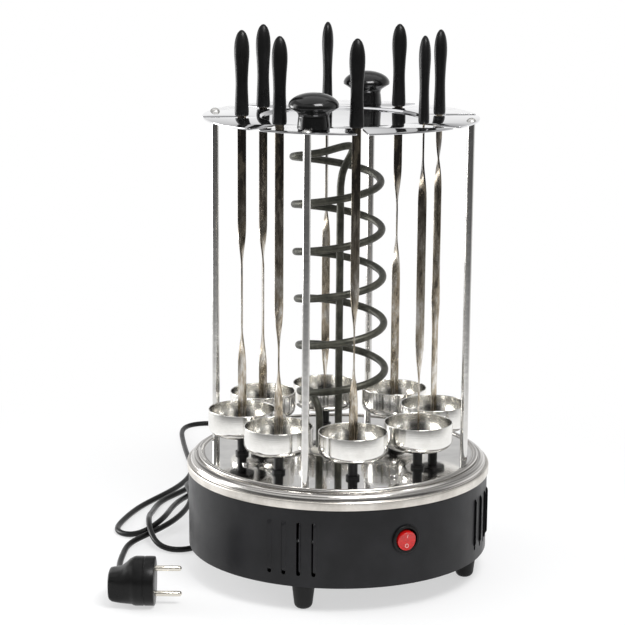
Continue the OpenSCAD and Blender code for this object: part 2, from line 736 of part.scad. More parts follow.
// Wires from the block's entries to the lead, the heater's legs and the switch
function entry(i, rise) = [block_x + block_pitch * (i - 1.5), block_y,
    bottom_z + block_size[2] - entry_depth + rise];
function radial(angle, r, z) = [r * sin(angle), -r * cos(angle), z];
wire_routes = [
    [entry(0, 0), entry(0, 6), entry(0, 11), [-26, 55, 43], [-27, 82, gland_z],
        radial(gland_angle, relief_in, gland_z)],
    [entry(1, 0), entry(1, 6), entry(1, 11), [-15, 14, 44], [-leg_gap, 0, 49],
        [-leg_gap, 0, pin_end_z]],
    [entry(2, 0), entry(2, 6), entry(2, 11), [-2, 14, 44], [0, 0, 49], [0, 0, pin_end_z]],
    [entry(3, 0), entry(3, 6), entry(3, 11), [18, 2, 44], [28, -45, 46],
        radial(switch_angle, drum_r - barrel_len - 8, switch_z - 3),
        radial(switch_angle, drum_r - barrel_len, switch_z - 3)]];
module inner_wires() {
    color([0.6, 0.1, 0.1]) for (route = wire_routes)
        tube(spline(route, 4), wire_r, 6, [1, 0.2, 0]);
}

// Round switch body with its well, and the red rocker on two small pins
module at_switch() {
    spot(switch_angle, drum_r) translate([0, 0, switch_z]) children();
}
module switch_body() {
    edge_r = 0.9;
    color([0.02, 0.02, 0.02]) at_switch() difference() {
        rotate([0, 90, 0]) {
            hole(barrel_r, -barrel_len, fit_gap);
            rotate_extrude() polygon(concat([[0, fit_gap], [bezel_r, fit_gap]],
                arc([bezel_r - edge_r, bezel_t - edge_r], edge_r, 0, 90, 4), [[0, bezel_t]]));
        }
        rotate([0, 90, 0]) hole(well_r, bezel_t - well_depth, bezel_t + 1);
        translate([bezel_t - pivot_depth, 0, 0]) rotate([90, 0, 0])
            hole(pivot_r + run_gap, -well_r - 0.9, well_r + 0.9);
    }
}
module switch_rocker() {
    pivot_x = bezel_t - pivot_depth;
    rise = 1.6;
    color([0.85, 0.05, 0.05]) at_switch() translate([pivot_x, 0, 0])
        rotate([0, rocker_tilt, 0]) {
            intersection() {
                rotate([0, 90, 0]) hole(rocker_r, -3, pivot_depth + rise + 1);
                rotate([90, 0, 0]) translate([0, 0, -rocker_r]) linear_extrude(2 * rocker_r)
                    polygon([[-3, -2.5], [1, -rocker_r], [pivot_depth + rise, -rocker_r],
                        [pivot_depth + 0.3, -rocker_r * 0.3], [pivot_depth, 0],
                        [pivot_depth + 0.3, rocker_r * 0.3],
                        [pivot_depth + rise, rocker_r], [1, rocker_r], [-3, 2.5]]);
            }
            rotate([90, 0, 0]) hole(pivot_r, -well_r - 0.6, well_r + 0.6);
        }
}

// Tapered rubber relief: inner head, neck in the drum's hole, collar, tail
module strain_relief() {
    tail_r = lead_r + 1.1;
    inner = relief_in - drum_r;
    color([0.03, 0.03, 0.03]) spot(gland_angle, drum_r) translate([0, 0, gland_z])
        rotate([0, 90, 0]) rotate_extrude() polygon(concat(
            [[0, inner], [relief_neck_r + 1.5, inner], [relief_neck_r + 1.5, -drum_wall - 0.5],
            [relief_neck_r, -drum_wall - 0.5], [relief_neck_r, 0.5],
            [relief_neck_r + 2, 0.5], [relief_neck_r + 2, 3]],
            [for (s = [0 : 0.25 : 1]) [tail_r + (relief_neck_r - tail_r) * (1 - s) ^ 1.5,
                3 + (relief_len - 3) * s]], [[0, relief_len]]));
}
module lead() {
    color([0.03, 0.03, 0.03])
        tube(spline(lead_route, lead_steps), lead_r, lead_sides, [0, 0, 1]);
}

// Angled plug lying on its rim: face to +X, lead entering from behind
module plug_body() {
    color([0.03, 0.03, 0.03]) translate([plug_x, plug_y, plug_r]) difference() {
        union() {
            rotate([0, -90, 0]) rotate_extrude() polygon([[0, 0], [plug_r - 0.6, 0],
                [plug_r, 0.8], [plug_r, plug_t - 2], [plug_r - 2, plug_t], [0, plug_t]]);
            hull() {
                translate([-plug_t - 4, 0, 0]) rotate([0, 90, 0])
                    cylinder(r = plug_r - 2, h = 5, $fn = 32);
                translate([-plug_t - 17, -plug_r + 5, -8]) cube([10, 2 * plug_r - 10, 16]);
            }
            translate([collar_x - plug_x, 0, 0]) rotate([-90, 0, 0])
                hole(lead_r + 3.2, 5, collar_y - plug_y);
        }
        for (s = [-1, 1]) translate([0, 0, s * pin_gap / 2]) rotate([0, 90, 0])
            hole(pin_r - pin_step + fit_gap, -pin_depth, 1);
    }
}
// Round pins with thinner roots in the plug and a shoulder against its face
module plug_pins() {
    root_r = pin_r - pin_step;
    color([0.8, 0.78, 0.72]) for (s = [-1, 1])
        translate([plug_x, plug_y, plug_r + s * pin_gap / 2]) rotate([0, 90, 0])
            rotate_extrude() polygon(concat([[0, fit_gap - pin_depth],
                [root_r, fit_gap - pin_depth], [root_r, 0], [pin_r, 0]],
                arc([0, pin_len - pin_r], pin_r, 0, 90, 6)));
}

// Spindle: journal, hub, gear, shaft, flange under the cup and slotted socket
module spindle(k) {
    angle = first_station + k * station_step;
    color([0.05, 0.05, 0.05]) spot(angle, cup_circle_r) {
        difference() {
            union() {
                hole(journal_r, deck_z - deck_t - 1, deck_z + 3);
                hole(spindle_hub_r, deck_z + 1.6, spindle_gear_z + 1);
                hole(spindle_r, spindle_gear_z + 1, cup_z);
                hole(cup_flange_r, cup_z - cup_flange_t, cup_z);
                hole(socket_r, cup_z - 1, cup_z + socket_h);
                translate([0, 0, spindle_gear_z])
                    rotate([0, 0, mesh_turn(angle, spindle_teeth)])
                    gear(spindle_teeth, gear_t, 0);
            }
            rotate([0, 0, skewer_turn[k] + 90 - angle])
                translate([-blade_w / 2 - pocket_gap, -blade_t / 2 - pocket_gap,
                    cup_z + pocket_floor])
                cube([blade_w + 2 * pocket_gap, blade_t + 2 * pocket_gap, socket_h]);
        }
    }
}

// Drip cup: open bowl with a rounded lower edge and a hole for the socket
module cup(k) {
    hole_r = socket_r + fit_gap;
    outer = arc([cup_r - cup_round, cup_round], cup_round, -90, 0, 8);
    inner = arc([cup_r - cup_round, cup_round], cup_round - cup_t, 0, -90, 8);
    color([0.8, 0.8, 0.8]) spot(first_station + k * station_step, cup_circle_r)
        translate([0, 0, cup_z]) rotate_extrude() polygon(concat([[hole_r, 0]], outer,
            [[cup_r, cup_h], [cup_r - cup_t, cup_h]], inner, [[hole_r, cup_t]]));
}

// Skewer: a flat pointed strip with two quarter twists, tang in the handle
tip_len = 9;
blade_rings = 44;
function eased(s) = s <= 0 ? 0 : s >= 1 ? 1 : s * s * (3 - 2 * s);
function quarter(depth, z) = 90 * eased((plate_z - depth - z) / twist_len + 0.5);
function blade_angle(k, z) = skewer_turn[k] + quarter(twist_upper[k], z)
    + quarter(twist_lower[k], z);
function blade_share(z) = min(1, 0.25 + 0.75 * (z - tip_z) / tip_len);
function blade_ring(k, z) = let (a = blade_angle(k, z), w = blade_w / 2 * blade_share(z),
    t = blade_t / 2) [for (c = [[w, t], [-w, t], [-w, -t], [w, -t]])
    [c[0] * cos(a) - c[1] * sin(a), c[0] * sin(a) + c[1] * cos(a), z]];
module skewer(k) {
    levels = concat([tip_z, tip_z + tip_len], [for (i = [1 : blade_rings])
        tip_z + tip_len + (tang_top_z - tip_z - tip_len) * i / blade_rings]);
    points = [for (z = levels) each blade_ring(k, z)];
    last = 4 * (len(levels) - 1);
    walls = [for (i = [0 : len(levels) - 2]) for (j = [0 : 3])
        let (a = 4 * i + j, b = 4 * i + (j + 1) % 4) each [[a, a + 4, b], [b, a + 4, b + 4]]];
    ends = [[0, 1, 2], [0, 2, 3], [last, last + 2, last + 1], [last, last + 3, last + 2]];
    place = cup_circle_r * heading(first_station + k * station_step);
    color([0.72, 0.7, 0.64]) translate([place[0], place[1], 0])
        polyhedron(points, concat(walls, ends));
}

// Handle: flattened grip with a waist and a pointed end, slotted for the tang
handle_sides = 14;
// Height as a share of the length, and half width as a share of the greatest
handle_shape = [[0, 0.88], [0.04, 0.93], [0.18, 0.87], [0.38, 0.8], [0.56, 0.88],
    [0.72, 1], [0.82, 0.97], [0.9, 0.82], [0.96, 0.57], [0.99, 0.3], [1, 0.12]];
module handle(k) {
    points = [for (s = handle_shape) for (j = [0 : handle_sides - 1])
        [handle_r * s[1] * cos(360 * j / handle_sides),
        handle_r * handle_flat * s[1] * sin(360 * j / handle_sides),
        handle_z + handle_len * s[0]]];
    n = handle_sides;
    last = n * (len(handle_shape) - 1);
    walls = [for (i = [0 : len(handle_shape) - 2]) for (j = [0 : n - 1])
        let (a = n * i + j, b = n * i + (j + 1) % n) each [[a, a + n, b], [b, a + n, b + n]]];
    ends = [for (j = [1 : n - 2]) each [[0, j, j + 1], [last, last + j + 1, last + j]]];
    place = cup_circle_r * heading(first_station + k * station_step);
    color([0.03, 0.03, 0.03]) translate([place[0], place[1], 0])
        rotate([0, 0, skewer_turn[k]]) difference() {
            polyhedron(points, concat(walls, ends));
            translate([-blade_w / 2 - tang_gap, -blade_t / 2 - tang_gap, handle_z - 1])
                cube([blade_w + 2 * tang_gap, blade_t + 2 * tang_gap, tang_len + 1 + tang_gap]);
        }
}

base_drum();
bottom_plate();
feet();
top_cover();
gear_deck();
pillars();
hub_ring();
sun_gear();
spindle_bushes();
motor();
motor_pinion();
pan_screws();
posts();
dome_screws();
top_plate();
knobs();
heater_coil();
heater_bracket();
heater_insulators();
terminal_block();
inner_wires();
switch_body();
switch_rocker();
strain_relief();
lead();
plug_body();
plug_pins();
spindle(0);  // spindle_1
spindle(1);  // spindle_2
spindle(2);  // spindle_3
spindle(3);  // spindle_4
spindle(4);  // spindle_5
spindle(5);  // spindle_6
spindle(6);  // spindle_7
spindle(7);  // spindle_8
cup(0);  // cup_1
cup(1);  // cup_2
cup(2);  // cup_3
cup(3);  // cup_4
cup(4);  // cup_5
cup(5);  // cup_6
cup(6);  // cup_7
cup(7);  // cup_8
skewer(0);  // skewer_1
skewer(1);  // skewer_2
skewer(2);  // skewer_3
skewer(3);  // skewer_4
skewer(4);  // skewer_5
skewer(5);  // skewer_6
skewer(6);  // skewer_7
skewer(7);  // skewer_8
handle(0);  // handle_1
handle(1);  // handle_2
handle(2);  // handle_3
handle(3);  // handle_4
handle(4);  // handle_5
handle(5);  // handle_6
handle(6);  // handle_7
handle(7);  // handle_8
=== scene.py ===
import json
import math

import bmesh
import bpy
from mathutils import Matrix, Vector
from mathutils.geometry import tessellate_polygon


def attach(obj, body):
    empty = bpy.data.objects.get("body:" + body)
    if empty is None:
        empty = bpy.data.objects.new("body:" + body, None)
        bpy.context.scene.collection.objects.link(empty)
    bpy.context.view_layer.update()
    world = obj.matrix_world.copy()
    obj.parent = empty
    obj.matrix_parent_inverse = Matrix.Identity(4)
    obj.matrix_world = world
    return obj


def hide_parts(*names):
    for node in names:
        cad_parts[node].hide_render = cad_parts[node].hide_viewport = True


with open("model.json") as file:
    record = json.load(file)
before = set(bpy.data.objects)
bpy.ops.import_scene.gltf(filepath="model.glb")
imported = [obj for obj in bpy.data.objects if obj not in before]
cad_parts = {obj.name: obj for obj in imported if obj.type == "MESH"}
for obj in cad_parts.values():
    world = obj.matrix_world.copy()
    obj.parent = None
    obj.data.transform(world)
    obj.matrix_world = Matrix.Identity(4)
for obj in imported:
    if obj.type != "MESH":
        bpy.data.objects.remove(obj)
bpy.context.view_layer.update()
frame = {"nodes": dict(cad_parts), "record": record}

MM = 0.001
RAD = math.radians(1)
SHARP_ANGLE = 32         # faces that meet at more degrees than this keep a sharp edge

# Main sizes of the CAD model, in millimetres. Angles start at -Y and grow towards +X.
DRUM_R, BASE_Z, FLOOR_Z, SHEET = 111.5, 20.0, 89.2, 0.8
POST_ANGLE, POST_R, PLATE_Z, PLATE_R, PLATE_T = -14.0, 95.3, 340.0, 100.0, 1.2
PILLAR_R, KNOB_R, FOOT_R = 78, 78, 98
BRACKET_X, BRACKET_Y, SCREW_HOLE = -7, 19.5, 1.55
CUP_CIRCLE, CUP_Z, FIRST_CUP = 72.0, 105.0, 8.5
HANDLE_Z, HANDLE_LEN, TIP_Z, TANG_TOP = 340.6, 61.0, 107.3, 354.6
HANDLE_HALF, HANDLE_FLAT = 5.4, 0.78
SKEWER_TURN = [0, 90, 50, 0, 80, 10, 0, 0]
TWIST_UPPER = [125, 44, 34, 56, 90, 100, 89, 140]
TWIST_LOWER = [187, 168, 139, 116, 192, 190, 173, 191]
TWIST_LEN = 42.0
VENT_ANGLE, VENT_STEP, VENT_Z, VENT_LEN = -17.0, 5.65, 28.0, 39.5
SWITCH_ANGLE, SWITCH_Z = 25.7, 53.7
GLAND_ANGLE, GLAND_Z = 195.0, 38.0
PLUG_X, PLUG_Y, PLUG_R, PIN_SPACING = -129.5, -92.0, 17.75, 19.0


def heading(angle, radius, z=0.0):
    return Vector((radius * math.sin(angle * RAD), -radius * math.cos(angle * RAD), z))


def stand(angle, radius, z=0.0):
    """A place on a circle, with +X pointing outwards."""
    turn = Matrix.Rotation((angle - 90) * RAD, 4, "Z")
    return Matrix.Translation(heading(angle, radius, z)) @ turn


def spline(points, steps):
    """Uniform cubic B-spline through control points, ends clamped."""
    pts = [Vector(p) for p in points]
    pts = [2 * pts[0] - pts[1]] + pts + [2 * pts[-1] - pts[-2]]
    line = []
    for i in range(len(pts) - 3):
        a, b, c, d = pts[i:i + 4]
        for j in range(steps):
            t = j / steps
            line.append(((1 - t) ** 3 * a + (3 * t ** 3 - 6 * t ** 2 + 4) * b
                         + (-3 * t ** 3 + 3 * t ** 2 + 3 * t + 1) * c + t ** 3 * d) / 6)
    return line + [pts[-2]]


# Camera
PHOTO, FOCAL, SENSOR = 625, 2101.9, 36.0
PITCH, ROLL = -13.179 * RAD, 0.555 * RAD
lens = bpy.data.cameras.new("camera")
lens.sensor_width = SENSOR
lens.lens = FOCAL / PHOTO * SENSOR
lens.shift_x, lens.shift_y = -0.0425, 0.0514
lens.clip_start = 0.05
camera = bpy.data.objects.new("camera", lens)
bpy.context.scene.collection.objects.link(camera)
forward = Vector((0, math.cos(PITCH), math.sin(PITCH)))
level = Vector((1, 0, 0))
upward = level.cross(forward)
side = level * math.cos(ROLL) + upward * math.sin(ROLL)
top = upward * math.cos(ROLL) - level * math.sin(ROLL)
camera.matrix_world = (Matrix.Translation((0, -1.51305, 0.52482))
                       @ Matrix((side, top, -forward)).transposed().to_4x4())
bpy.context.scene.camera = camera


class Graph:
    """A node tree of a material or of the world, and short ways to add nodes to it."""

    def __init__(self, owner):
        owner.use_nodes = True
        self.tree = owner.node_tree

    def node(self, kind, inputs=None, **settings):
        made = self.tree.nodes.new(kind)
        for key, value in settings.items():
            setattr(made, key, value)
        for key, value in (inputs or {}).items():
            if isinstance(value, bpy.types.NodeSocket):
                self.tree.links.new(value, made.inputs[key])
            else:
                made.inputs[key].default_value = value
        return made

    def math(self, operation, a, b):
        return self.node("ShaderNodeMath", {0: a, 1: b}, operation=operation).outputs[0]

    def span(self, value, low, high, to_low, to_high, **settings):
        return self.node("ShaderNodeMapRange", {
            "Value": value, "From Min": low, "From Max": high,
            "To Min": to_low, "To Max": to_high}, **settings).outputs[0]

    def mix(self, factor, a, b):
        made = self.node("ShaderNodeMix", {0: factor}, data_type="RGBA")
        for index, value in ((6, a), (7, b)):
            if isinstance(value, bpy.types.NodeSocket):
                self.tree.links.new(value, made.inputs[index])
            else:
                made.inputs[index].default_value = (*value, 1)
        return made.outputs[2]

    def ramp(self, value, stops):
        """Grey tones between stops of (position, tone)."""
        made = self.node("ShaderNodeValToRGB", {0: value})
        elements = made.color_ramp.elements
        while len(elements) < len(stops):
            elements.new(0.5)
        for element, (position, tone) in zip(elements, stops):
            element.position, element.color = position, (tone, tone, tone, 1)
        return made.outputs[0]


class Look(Graph):
    """A Principled material that is built node by node, on object coordinates."""

    def __init__(self, name, colour, metallic, roughness, **sockets):
        self.material = bpy.data.materials.new(name)
        super().__init__(self.material)
        self.shader = self.tree.nodes["Principled BSDF"]
        self.set("Base Color", (*colour, 1))
        self.set("Metallic", metallic)
        self.set("Roughness", roughness)
        for key, value in sockets.items():
            self.set(key.replace("_", " "), value)

    def set(self, socket, value):
        self.shader.inputs[socket].default_value = value

    def feed(self, socket, output):
        self.tree.links.new(output, self.shader.inputs[socket])

    def place(self):
        return self.node("ShaderNodeTexCoord").outputs["Object"]

    def height(self):
        return self.node("ShaderNodeSeparateXYZ", {0: self.place()}).outputs["Z"]

    def stretched(self, scale):
        return self.node("ShaderNodeMapping", {"Vector": self.place(), "Scale": scale}).outputs[0]

    def radius(self):
        return self.node("ShaderNodeVectorMath", {
            0: self.stretched((1.0, 1.0, 0.0))}, operation="LENGTH").outputs["Value"]

    def around(self, per_turn, per_metre):
        """Coordinates along and across the turning direction of a piece on the Z axis."""
        xyz = self.node("ShaderNodeSeparateXYZ", {0: self.place()})
        turn = self.math("ARCTAN2", xyz.outputs["Y"], xyz.outputs["X"])
        return self.node("ShaderNodeCombineXYZ", {
            0: self.math("MULTIPLY", turn, per_turn),
            1: self.math("MULTIPLY", self.radius(), per_metre),
            2: self.math("MULTIPLY", xyz.outputs["Z"], per_metre)}).outputs[0]

    def noise(self, scale, vector=None, detail=3.0, rough=0.5):
        return self.node("ShaderNodeTexNoise", {
            "Vector": vector or self.place(), "Scale": scale, "Detail": detail,
            "Roughness": rough}).outputs["Fac"]

    def bump(self, height, distance, under=None):
        """Relief of a height in metres, over another relief if one is given."""
        inputs = {"Height": height, "Distance": distance, "Strength": 1.0}
        if under:
            inputs["Normal"] = under
        made = self.node("ShaderNodeBump", inputs).outputs[0]
        self.feed("Normal", made)
        return made


def satin_black(name, colour, roughness, grain, grain_depth, **sockets):
    """Black paint, plastic or rubber: faint tone and gloss changes over a fine grain."""
    look = Look(name, colour, 0.0, roughness, **sockets)
    cloud = look.noise(38.0)
    look.feed("Base Color", look.mix(look.span(cloud, 0.35, 0.7, 0, 1), colour,
                                     [c * 1.7 + 0.001 for c in colour]))
    look.feed("Roughness", look.span(look.noise(70.0, detail=5.0), 0.3, 0.7,
                                     roughness - 0.05, roughness + 0.07))
    look.bump(look.noise(grain, detail=2.0), grain_depth)
    return look.material


def bright_metal(name, colour, roughness, wave_scale, wave_depth, tint=0.9, spread=0.04):
    """Polished sheet or rod: slow waves, faint tone clouds and a trace of smudges."""
    look = Look(name, colour, 1.0, roughness)
    cloud = look.noise(45.0, detail=4.0)
    look.feed("Base Color", look.mix(look.span(cloud, 0.3, 0.7, 0, 1), colour,
                                     [c * tint for c in colour]))
    look.feed("Roughness", look.span(look.noise(90.0, detail=6.0, rough=0.6), 0.35, 0.75,
                                     roughness, roughness + spread))
    look.bump(look.noise(wave_scale, detail=1.0), wave_depth)
    return look.material


def cover_steel():
    """Mirror floor; bead and shoulder in light and dark concentric bands with fine turned streaks;
    skirt brushed round and blotchy.
    """
    look = Look("cover_steel", (0.78, 0.765, 0.74), 1.0, 0.08)
    skirt = look.span(look.height(), 0.0832, 0.0836, 1, 0)
    rim = look.span(look.radius(), 0.0988, 0.0998, 0, 1)
    cloud = look.noise(60.0, detail=5.0, rough=0.6)
    streaks = look.noise(1.0, look.around(5.0, 4200.0), detail=3.0)
    bands = look.noise(1.0, look.around(1.2, 1100.0), detail=3.0)
    mirror = look.mix(look.span(cloud, 0.3, 0.7, 0, 1), (0.78, 0.77, 0.75), (0.66, 0.65, 0.64))
    rolled = look.mix(look.span(bands, 0.4, 0.6, 0, 1), (0.72, 0.7, 0.67), (0.32, 0.305, 0.29))
    brushed = look.mix(look.span(cloud, 0.35, 0.68, 0, 1), (0.8, 0.765, 0.71), (0.58, 0.545, 0.5))
    look.feed("Base Color", look.mix(skirt, look.mix(rim, mirror, rolled), brushed))
    rough = look.span(streaks, 0.3, 0.7, 0.26, 0.42)
    gloss = look.span(cloud, 0.3, 0.75, 0.04, 0.11)
    turned = look.span(streaks, 0.3, 0.7, 0.15, 0.24)
    gloss = look.node("ShaderNodeMix", {0: rim, 2: gloss, 3: turned}).outputs[0]
    look.feed("Roughness", look.node("ShaderNodeMix", {0: skirt, 2: gloss, 3: rough}).outputs[0])
    flat = look.math("SUBTRACT", 1.0, rim)
    waves = look.bump(look.math("MULTIPLY", look.noise(14.0, detail=1.0), flat), 0.0004)
    look.bump(look.math("MULTIPLY", streaks, rim), 0.00002, under=waves)
    return look.material


def plate_steel():
    """Mirror sheet with polishing marks so fine that they only soften the highlights."""
    look = Look("plate_steel", (0.8, 0.8, 0.81), 1.0, 0.05)
    cloud = look.noise(35.0, detail=5.0, rough=0.55)
    look.feed("Base Color", look.mix(look.span(cloud, 0.3, 0.7, 0, 1), (0.82, 0.82, 0.83),
                                     (0.74, 0.74, 0.76)))
    look.feed("Roughness", look.span(look.noise(120.0, detail=6.0), 0.35, 0.75, 0.03, 0.08))
    look.bump(look.noise(11.0, detail=1.0), 0.0003)
    return look.material


def cup_steel():
    """Spun sheet: fine rings round the cup under a faint uneven tone."""
    look = Look("cup_steel", (0.8, 0.79, 0.77), 1.0, 0.12)
    rings = look.noise(1.0, look.around(1.5, 2600.0), detail=3.0)
    cloud = look.noise(110.0, detail=5.0, rough=0.6)
    look.feed("Base Color", look.mix(look.span(cloud, 0.35, 0.75, 0, 1), (0.9, 0.89, 0.86),
                                     (0.8, 0.785, 0.75)))
    look.feed("Roughness", look.span(rings, 0.3, 0.7, 0.09, 0.18))
    look.bump(rings, 0.00002)
    return look.material


def blade_steel():
    """Strip steel ground along its length, with warm heat marks, and darkened towards the top by a
    painted reflection of a dark room.
    """
    look = Look("blade_steel", (0.66, 0.63, 0.57), 1.0, 0.2)
    grain = look.noise(1.0, look.stretched((2200.0, 2200.0, 45.0)), detail=4.0)
    cloud = look.noise(1.0, look.stretched((190.0, 190.0, 55.0)), detail=5.0, rough=0.7)
    warm = look.mix(look.span(cloud, 0.36, 0.54, 0, 1), (0.86, 0.83, 0.78), (0.5, 0.43, 0.33))
    ground = look.mix(look.span(cloud, 0.56, 0.66, 0, 0.85), warm, (0.08, 0.07, 0.06))
    # Painted reflection: the tone mixed in above 0.2 to 0.3 m darkens the blade's top as if it
    # mirrored the dark room in front.
    painted_dark_top = look.mix(look.span(cloud, 0.4, 0.5, 0, 1), (0.34, 0.29, 0.22), (0.09, 0.08, 0.07))
    look.feed("Base Color", look.mix(look.span(look.height(), 0.2, 0.3, 0, 1), ground, painted_dark_top))
    look.feed("Roughness", look.span(grain, 0.3, 0.7, 0.14, 0.3))
    look.bump(grain, 0.00002)
    return look.material


def heater_sheath():
    """Oxidised alloy tube: dark olive grey with lighter rubbed spots."""
    look = Look("heater_sheath", (0.05, 0.05, 0.04), 0.6, 0.42)
    cloud = look.noise(160.0, detail=6.0, rough=0.6)
    fine = look.noise(1400.0, detail=3.0)
    look.feed("Base Color", look.mix(look.span(cloud, 0.38, 0.68, 0, 1), (0.045, 0.046, 0.036),
                                     (0.1, 0.098, 0.078)))
    look.feed("Roughness", look.span(fine, 0.3, 0.7, 0.36, 0.52))
    look.bump(fine, 0.00004)
    return look.material


def red_lens():
    """Saturated opaque plastic with a faint moulding haze."""
    look = Look("red_lens", (0.55, 0.009, 0.008), 0.0, 0.22, Coat_Weight=0.2, Coat_Roughness=0.08)
    haze = look.noise(500.0, detail=3.0)
    look.feed("Base Color", look.mix(look.span(haze, 0.3, 0.7, 0, 1), (0.6, 0.01, 0.009),
                                     (0.4, 0.004, 0.004)))
    look.feed("Roughness", look.span(haze, 0.3, 0.7, 0.18, 0.3))
    look.bump(haze, 0.00001)
    return look.material


def pale_solid(name, colour, roughness, scale):
    """Nylon, ceramic or wire cover inside the base, with small stains."""
    look = Look(name, colour, 0.0, roughness)
    cloud = look.noise(scale, detail=4.0)
    look.feed("Base Color", look.mix(look.span(cloud, 0.4, 0.75, 0, 1), colour,
                                     [c * 0.78 for c in colour]))
    look.bump(look.noise(scale * 12, detail=2.0), 0.00002)
    return look.material


def plain_steel():
    """Rolled sheet steel with straight grain."""
    look = Look("plain_steel", (0.5, 0.5, 0.5), 1.0, 0.38)
    grain = look.noise(1.0, look.stretched((40.0, 1600.0, 1600.0)), detail=3.0)
    look.feed("Base Color", look.mix(look.span(grain, 0.3, 0.7, 0, 1), (0.3, 0.3, 0.3),
                                     (0.22, 0.22, 0.23)))
    look.feed("Roughness", look.span(grain, 0.3, 0.7, 0.32, 0.46))
    look.bump(grain, 0.00002)
    return look.material


LOOKS = {
    "black_paint": satin_black("black_paint", (0.007, 0.007, 0.008), 0.36, 1500.0, 0.00002,
                               Specular_IOR_Level=0.27),
    "plain_steel": plain_steel(),
    "black_rubber": satin_black("black_rubber", (0.007, 0.007, 0.007), 0.5, 2200.0, 0.00004,
                                Specular_IOR_Level=0.25),
    "polished_steel": plate_steel(),
    "white_nylon": pale_solid("white_nylon", (0.8, 0.78, 0.7), 0.5, 60.0),
    "black_nylon": satin_black("black_nylon", (0.012, 0.012, 0.012), 0.4, 1800.0, 0.00003,
                               Specular_IOR_Level=0.4),
    "zinc_steel": bright_metal("zinc_steel", (0.72, 0.71, 0.69), 0.2, 500.0, 0.00005),
    "chromed_steel": bright_metal("chromed_steel", (0.8, 0.79, 0.77), 0.13, 260.0, 0.00005,
                                  tint=0.82, spread=0.1),
    "black_gloss_plastic": satin_black("black_gloss_plastic", (0.004, 0.004, 0.004), 0.13, 500.0,
                                       0.00001, Specular_IOR_Level=0.45),
    "heater_sheath": heater_sheath(),
    "white_ceramic": pale_solid("white_ceramic", (0.78, 0.75, 0.68), 0.45, 140.0),
    "wire_cover": pale_solid("wire_cover", (0.45, 0.05, 0.04), 0.45, 90.0),
    "black_plastic": satin_black("black_plastic", (0.004, 0.004, 0.004), 0.3, 2600.0, 0.00002,
                                 Specular_IOR_Level=0.2),
    "red_lens": red_lens(),
    "cord_rubber": satin_black("cord_rubber", (0.005, 0.005, 0.005), 0.32, 1200.0, 0.00002,
                               Specular_IOR_Level=0.25),
    "cup_steel": cup_steel(),
    "blade_steel": blade_steel(),
}
COVER_LOOK = cover_steel()
PIN_LOOK = bright_metal("pin_metal", (0.78, 0.74, 0.66), 0.16, 300.0, 0.00004)
MARK_LOOK = pale_solid("switch_mark", (0.75, 0.45, 0.43), 0.4, 300.0)


class Shape:
    """Points in millimetres and the faces between them."""

    def __init__(self):
        self.points, self.faces, self.flat = [], [], []

    def ring(self, points):
        start = len(self.points)
        self.points += [Vector(p) for p in points]
        return list(range(start, len(self.points)))

    def face(self, corners, flat=False):
        self.faces.append(corners)
        self.flat.append(flat)

    def bridge(self, a, b):
        """Faces between two rings, of which one may be a single point."""
        count = max(len(a), len(b))
        for j in range(count):
            k = (j + 1) % count
            self.face(([a[0]] if len(a) == 1 else [a[j], a[k]])
                      + ([b[0]] if len(b) == 1 else [b[k], b[j]]))

    def skin(self, rings, caps=True):
        for a, b in zip(rings, rings[1:]):
            self.bridge(a, b)
        if caps:
            for ring in (rings[0], rings[-1]):
                if len(ring) > 2:
                    self.face(ring, True)

    def fill(self, loops):
        """Flat face with holes between loops of points."""
        corners = [i for loop in loops for i in loop]
        for tri in tessellate_polygon([[self.points[i] for i in loop] for loop in loops]):
            self.face([corners[i] for i in tri], True)

    def revolve(self, profile, sides=96, move=None):
        """Turns a loop of (radius, height) about Z; corners on the axis become points."""
        rings = []
        for r, z in profile:
            count = 1 if r < 1e-6 else sides
            rings.append(self.ring([(r * math.cos(math.tau * j / sides),
                                     r * math.sin(math.tau * j / sides), z)
                                    for j in range(count)]))
        for a, b in zip(rings, rings[1:] + rings[:1]):
            if len(a) > 1 or len(b) > 1:
                self.bridge(a, b)
        if move:
            self.move(move, rings[0][0])
        return rings

    def sweep(self, path, radius, sides):
        """A round tube along a path that doesn't start along X."""
        rings, across = [], Vector((1, 0, 0))
        for i, point in enumerate(path):
            along = (path[min(i + 1, len(path) - 1)] - path[max(i - 1, 0)]).normalized()
            across = (across - along * across.dot(along)).normalized()
            other = along.cross(across)
            rings.append(self.ring([point + radius * (math.cos(math.tau * j / sides) * across
                                                      + math.sin(math.tau * j / sides) * other)
                                    for j in range(sides)]))
        self.skin(rings)

    def move(self, matrix, first=0):
        for i in range(first, len(self.points)):
            self.points[i] = matrix @ self.points[i]

    def add(self, other, matrix):
        """Adds a copy of another shape, moved by the matrix."""
        start = len(self.points)
        self.points += [matrix @ p for p in other.points]
        self.faces += [[i + start for i in face] for face in other.faces]
        self.flat += other.flat

    def mesh(self, name):
        mesh = bpy.data.meshes.new(name)
        mesh.from_pydata([p * MM for p in self.points], [], self.faces)
        mesh.polygons.foreach_set("use_smooth", [not f for f in self.flat])
        bm = bmesh.new()
        bm.from_mesh(mesh)
        bmesh.ops.remove_doubles(bm, verts=bm.verts, dist=1e-7)
        bmesh.ops.recalc_face_normals(bm, faces=bm.faces)
        bm.to_mesh(mesh)
        bm.free()
        mesh.set_sharp_from_angle(angle=SHARP_ANGLE * RAD)
        return mesh


def link(name, data):
    made = bpy.data.objects.new(name, data)
    bpy.context.scene.collection.objects.link(made)
    return made


def piece(name, data, slot, body="root", nodes=(), look=None):
    """A finished piece: its mesh or curve, its material, its body and the nodes it stands for."""
    if isinstance(data, Shape):
        data = data.mesh(name)
    data.materials.append(look or LOOKS[slot])
    made = link(name, data)
    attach(made, body)
    if nodes:
        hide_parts(*nodes)
    return made


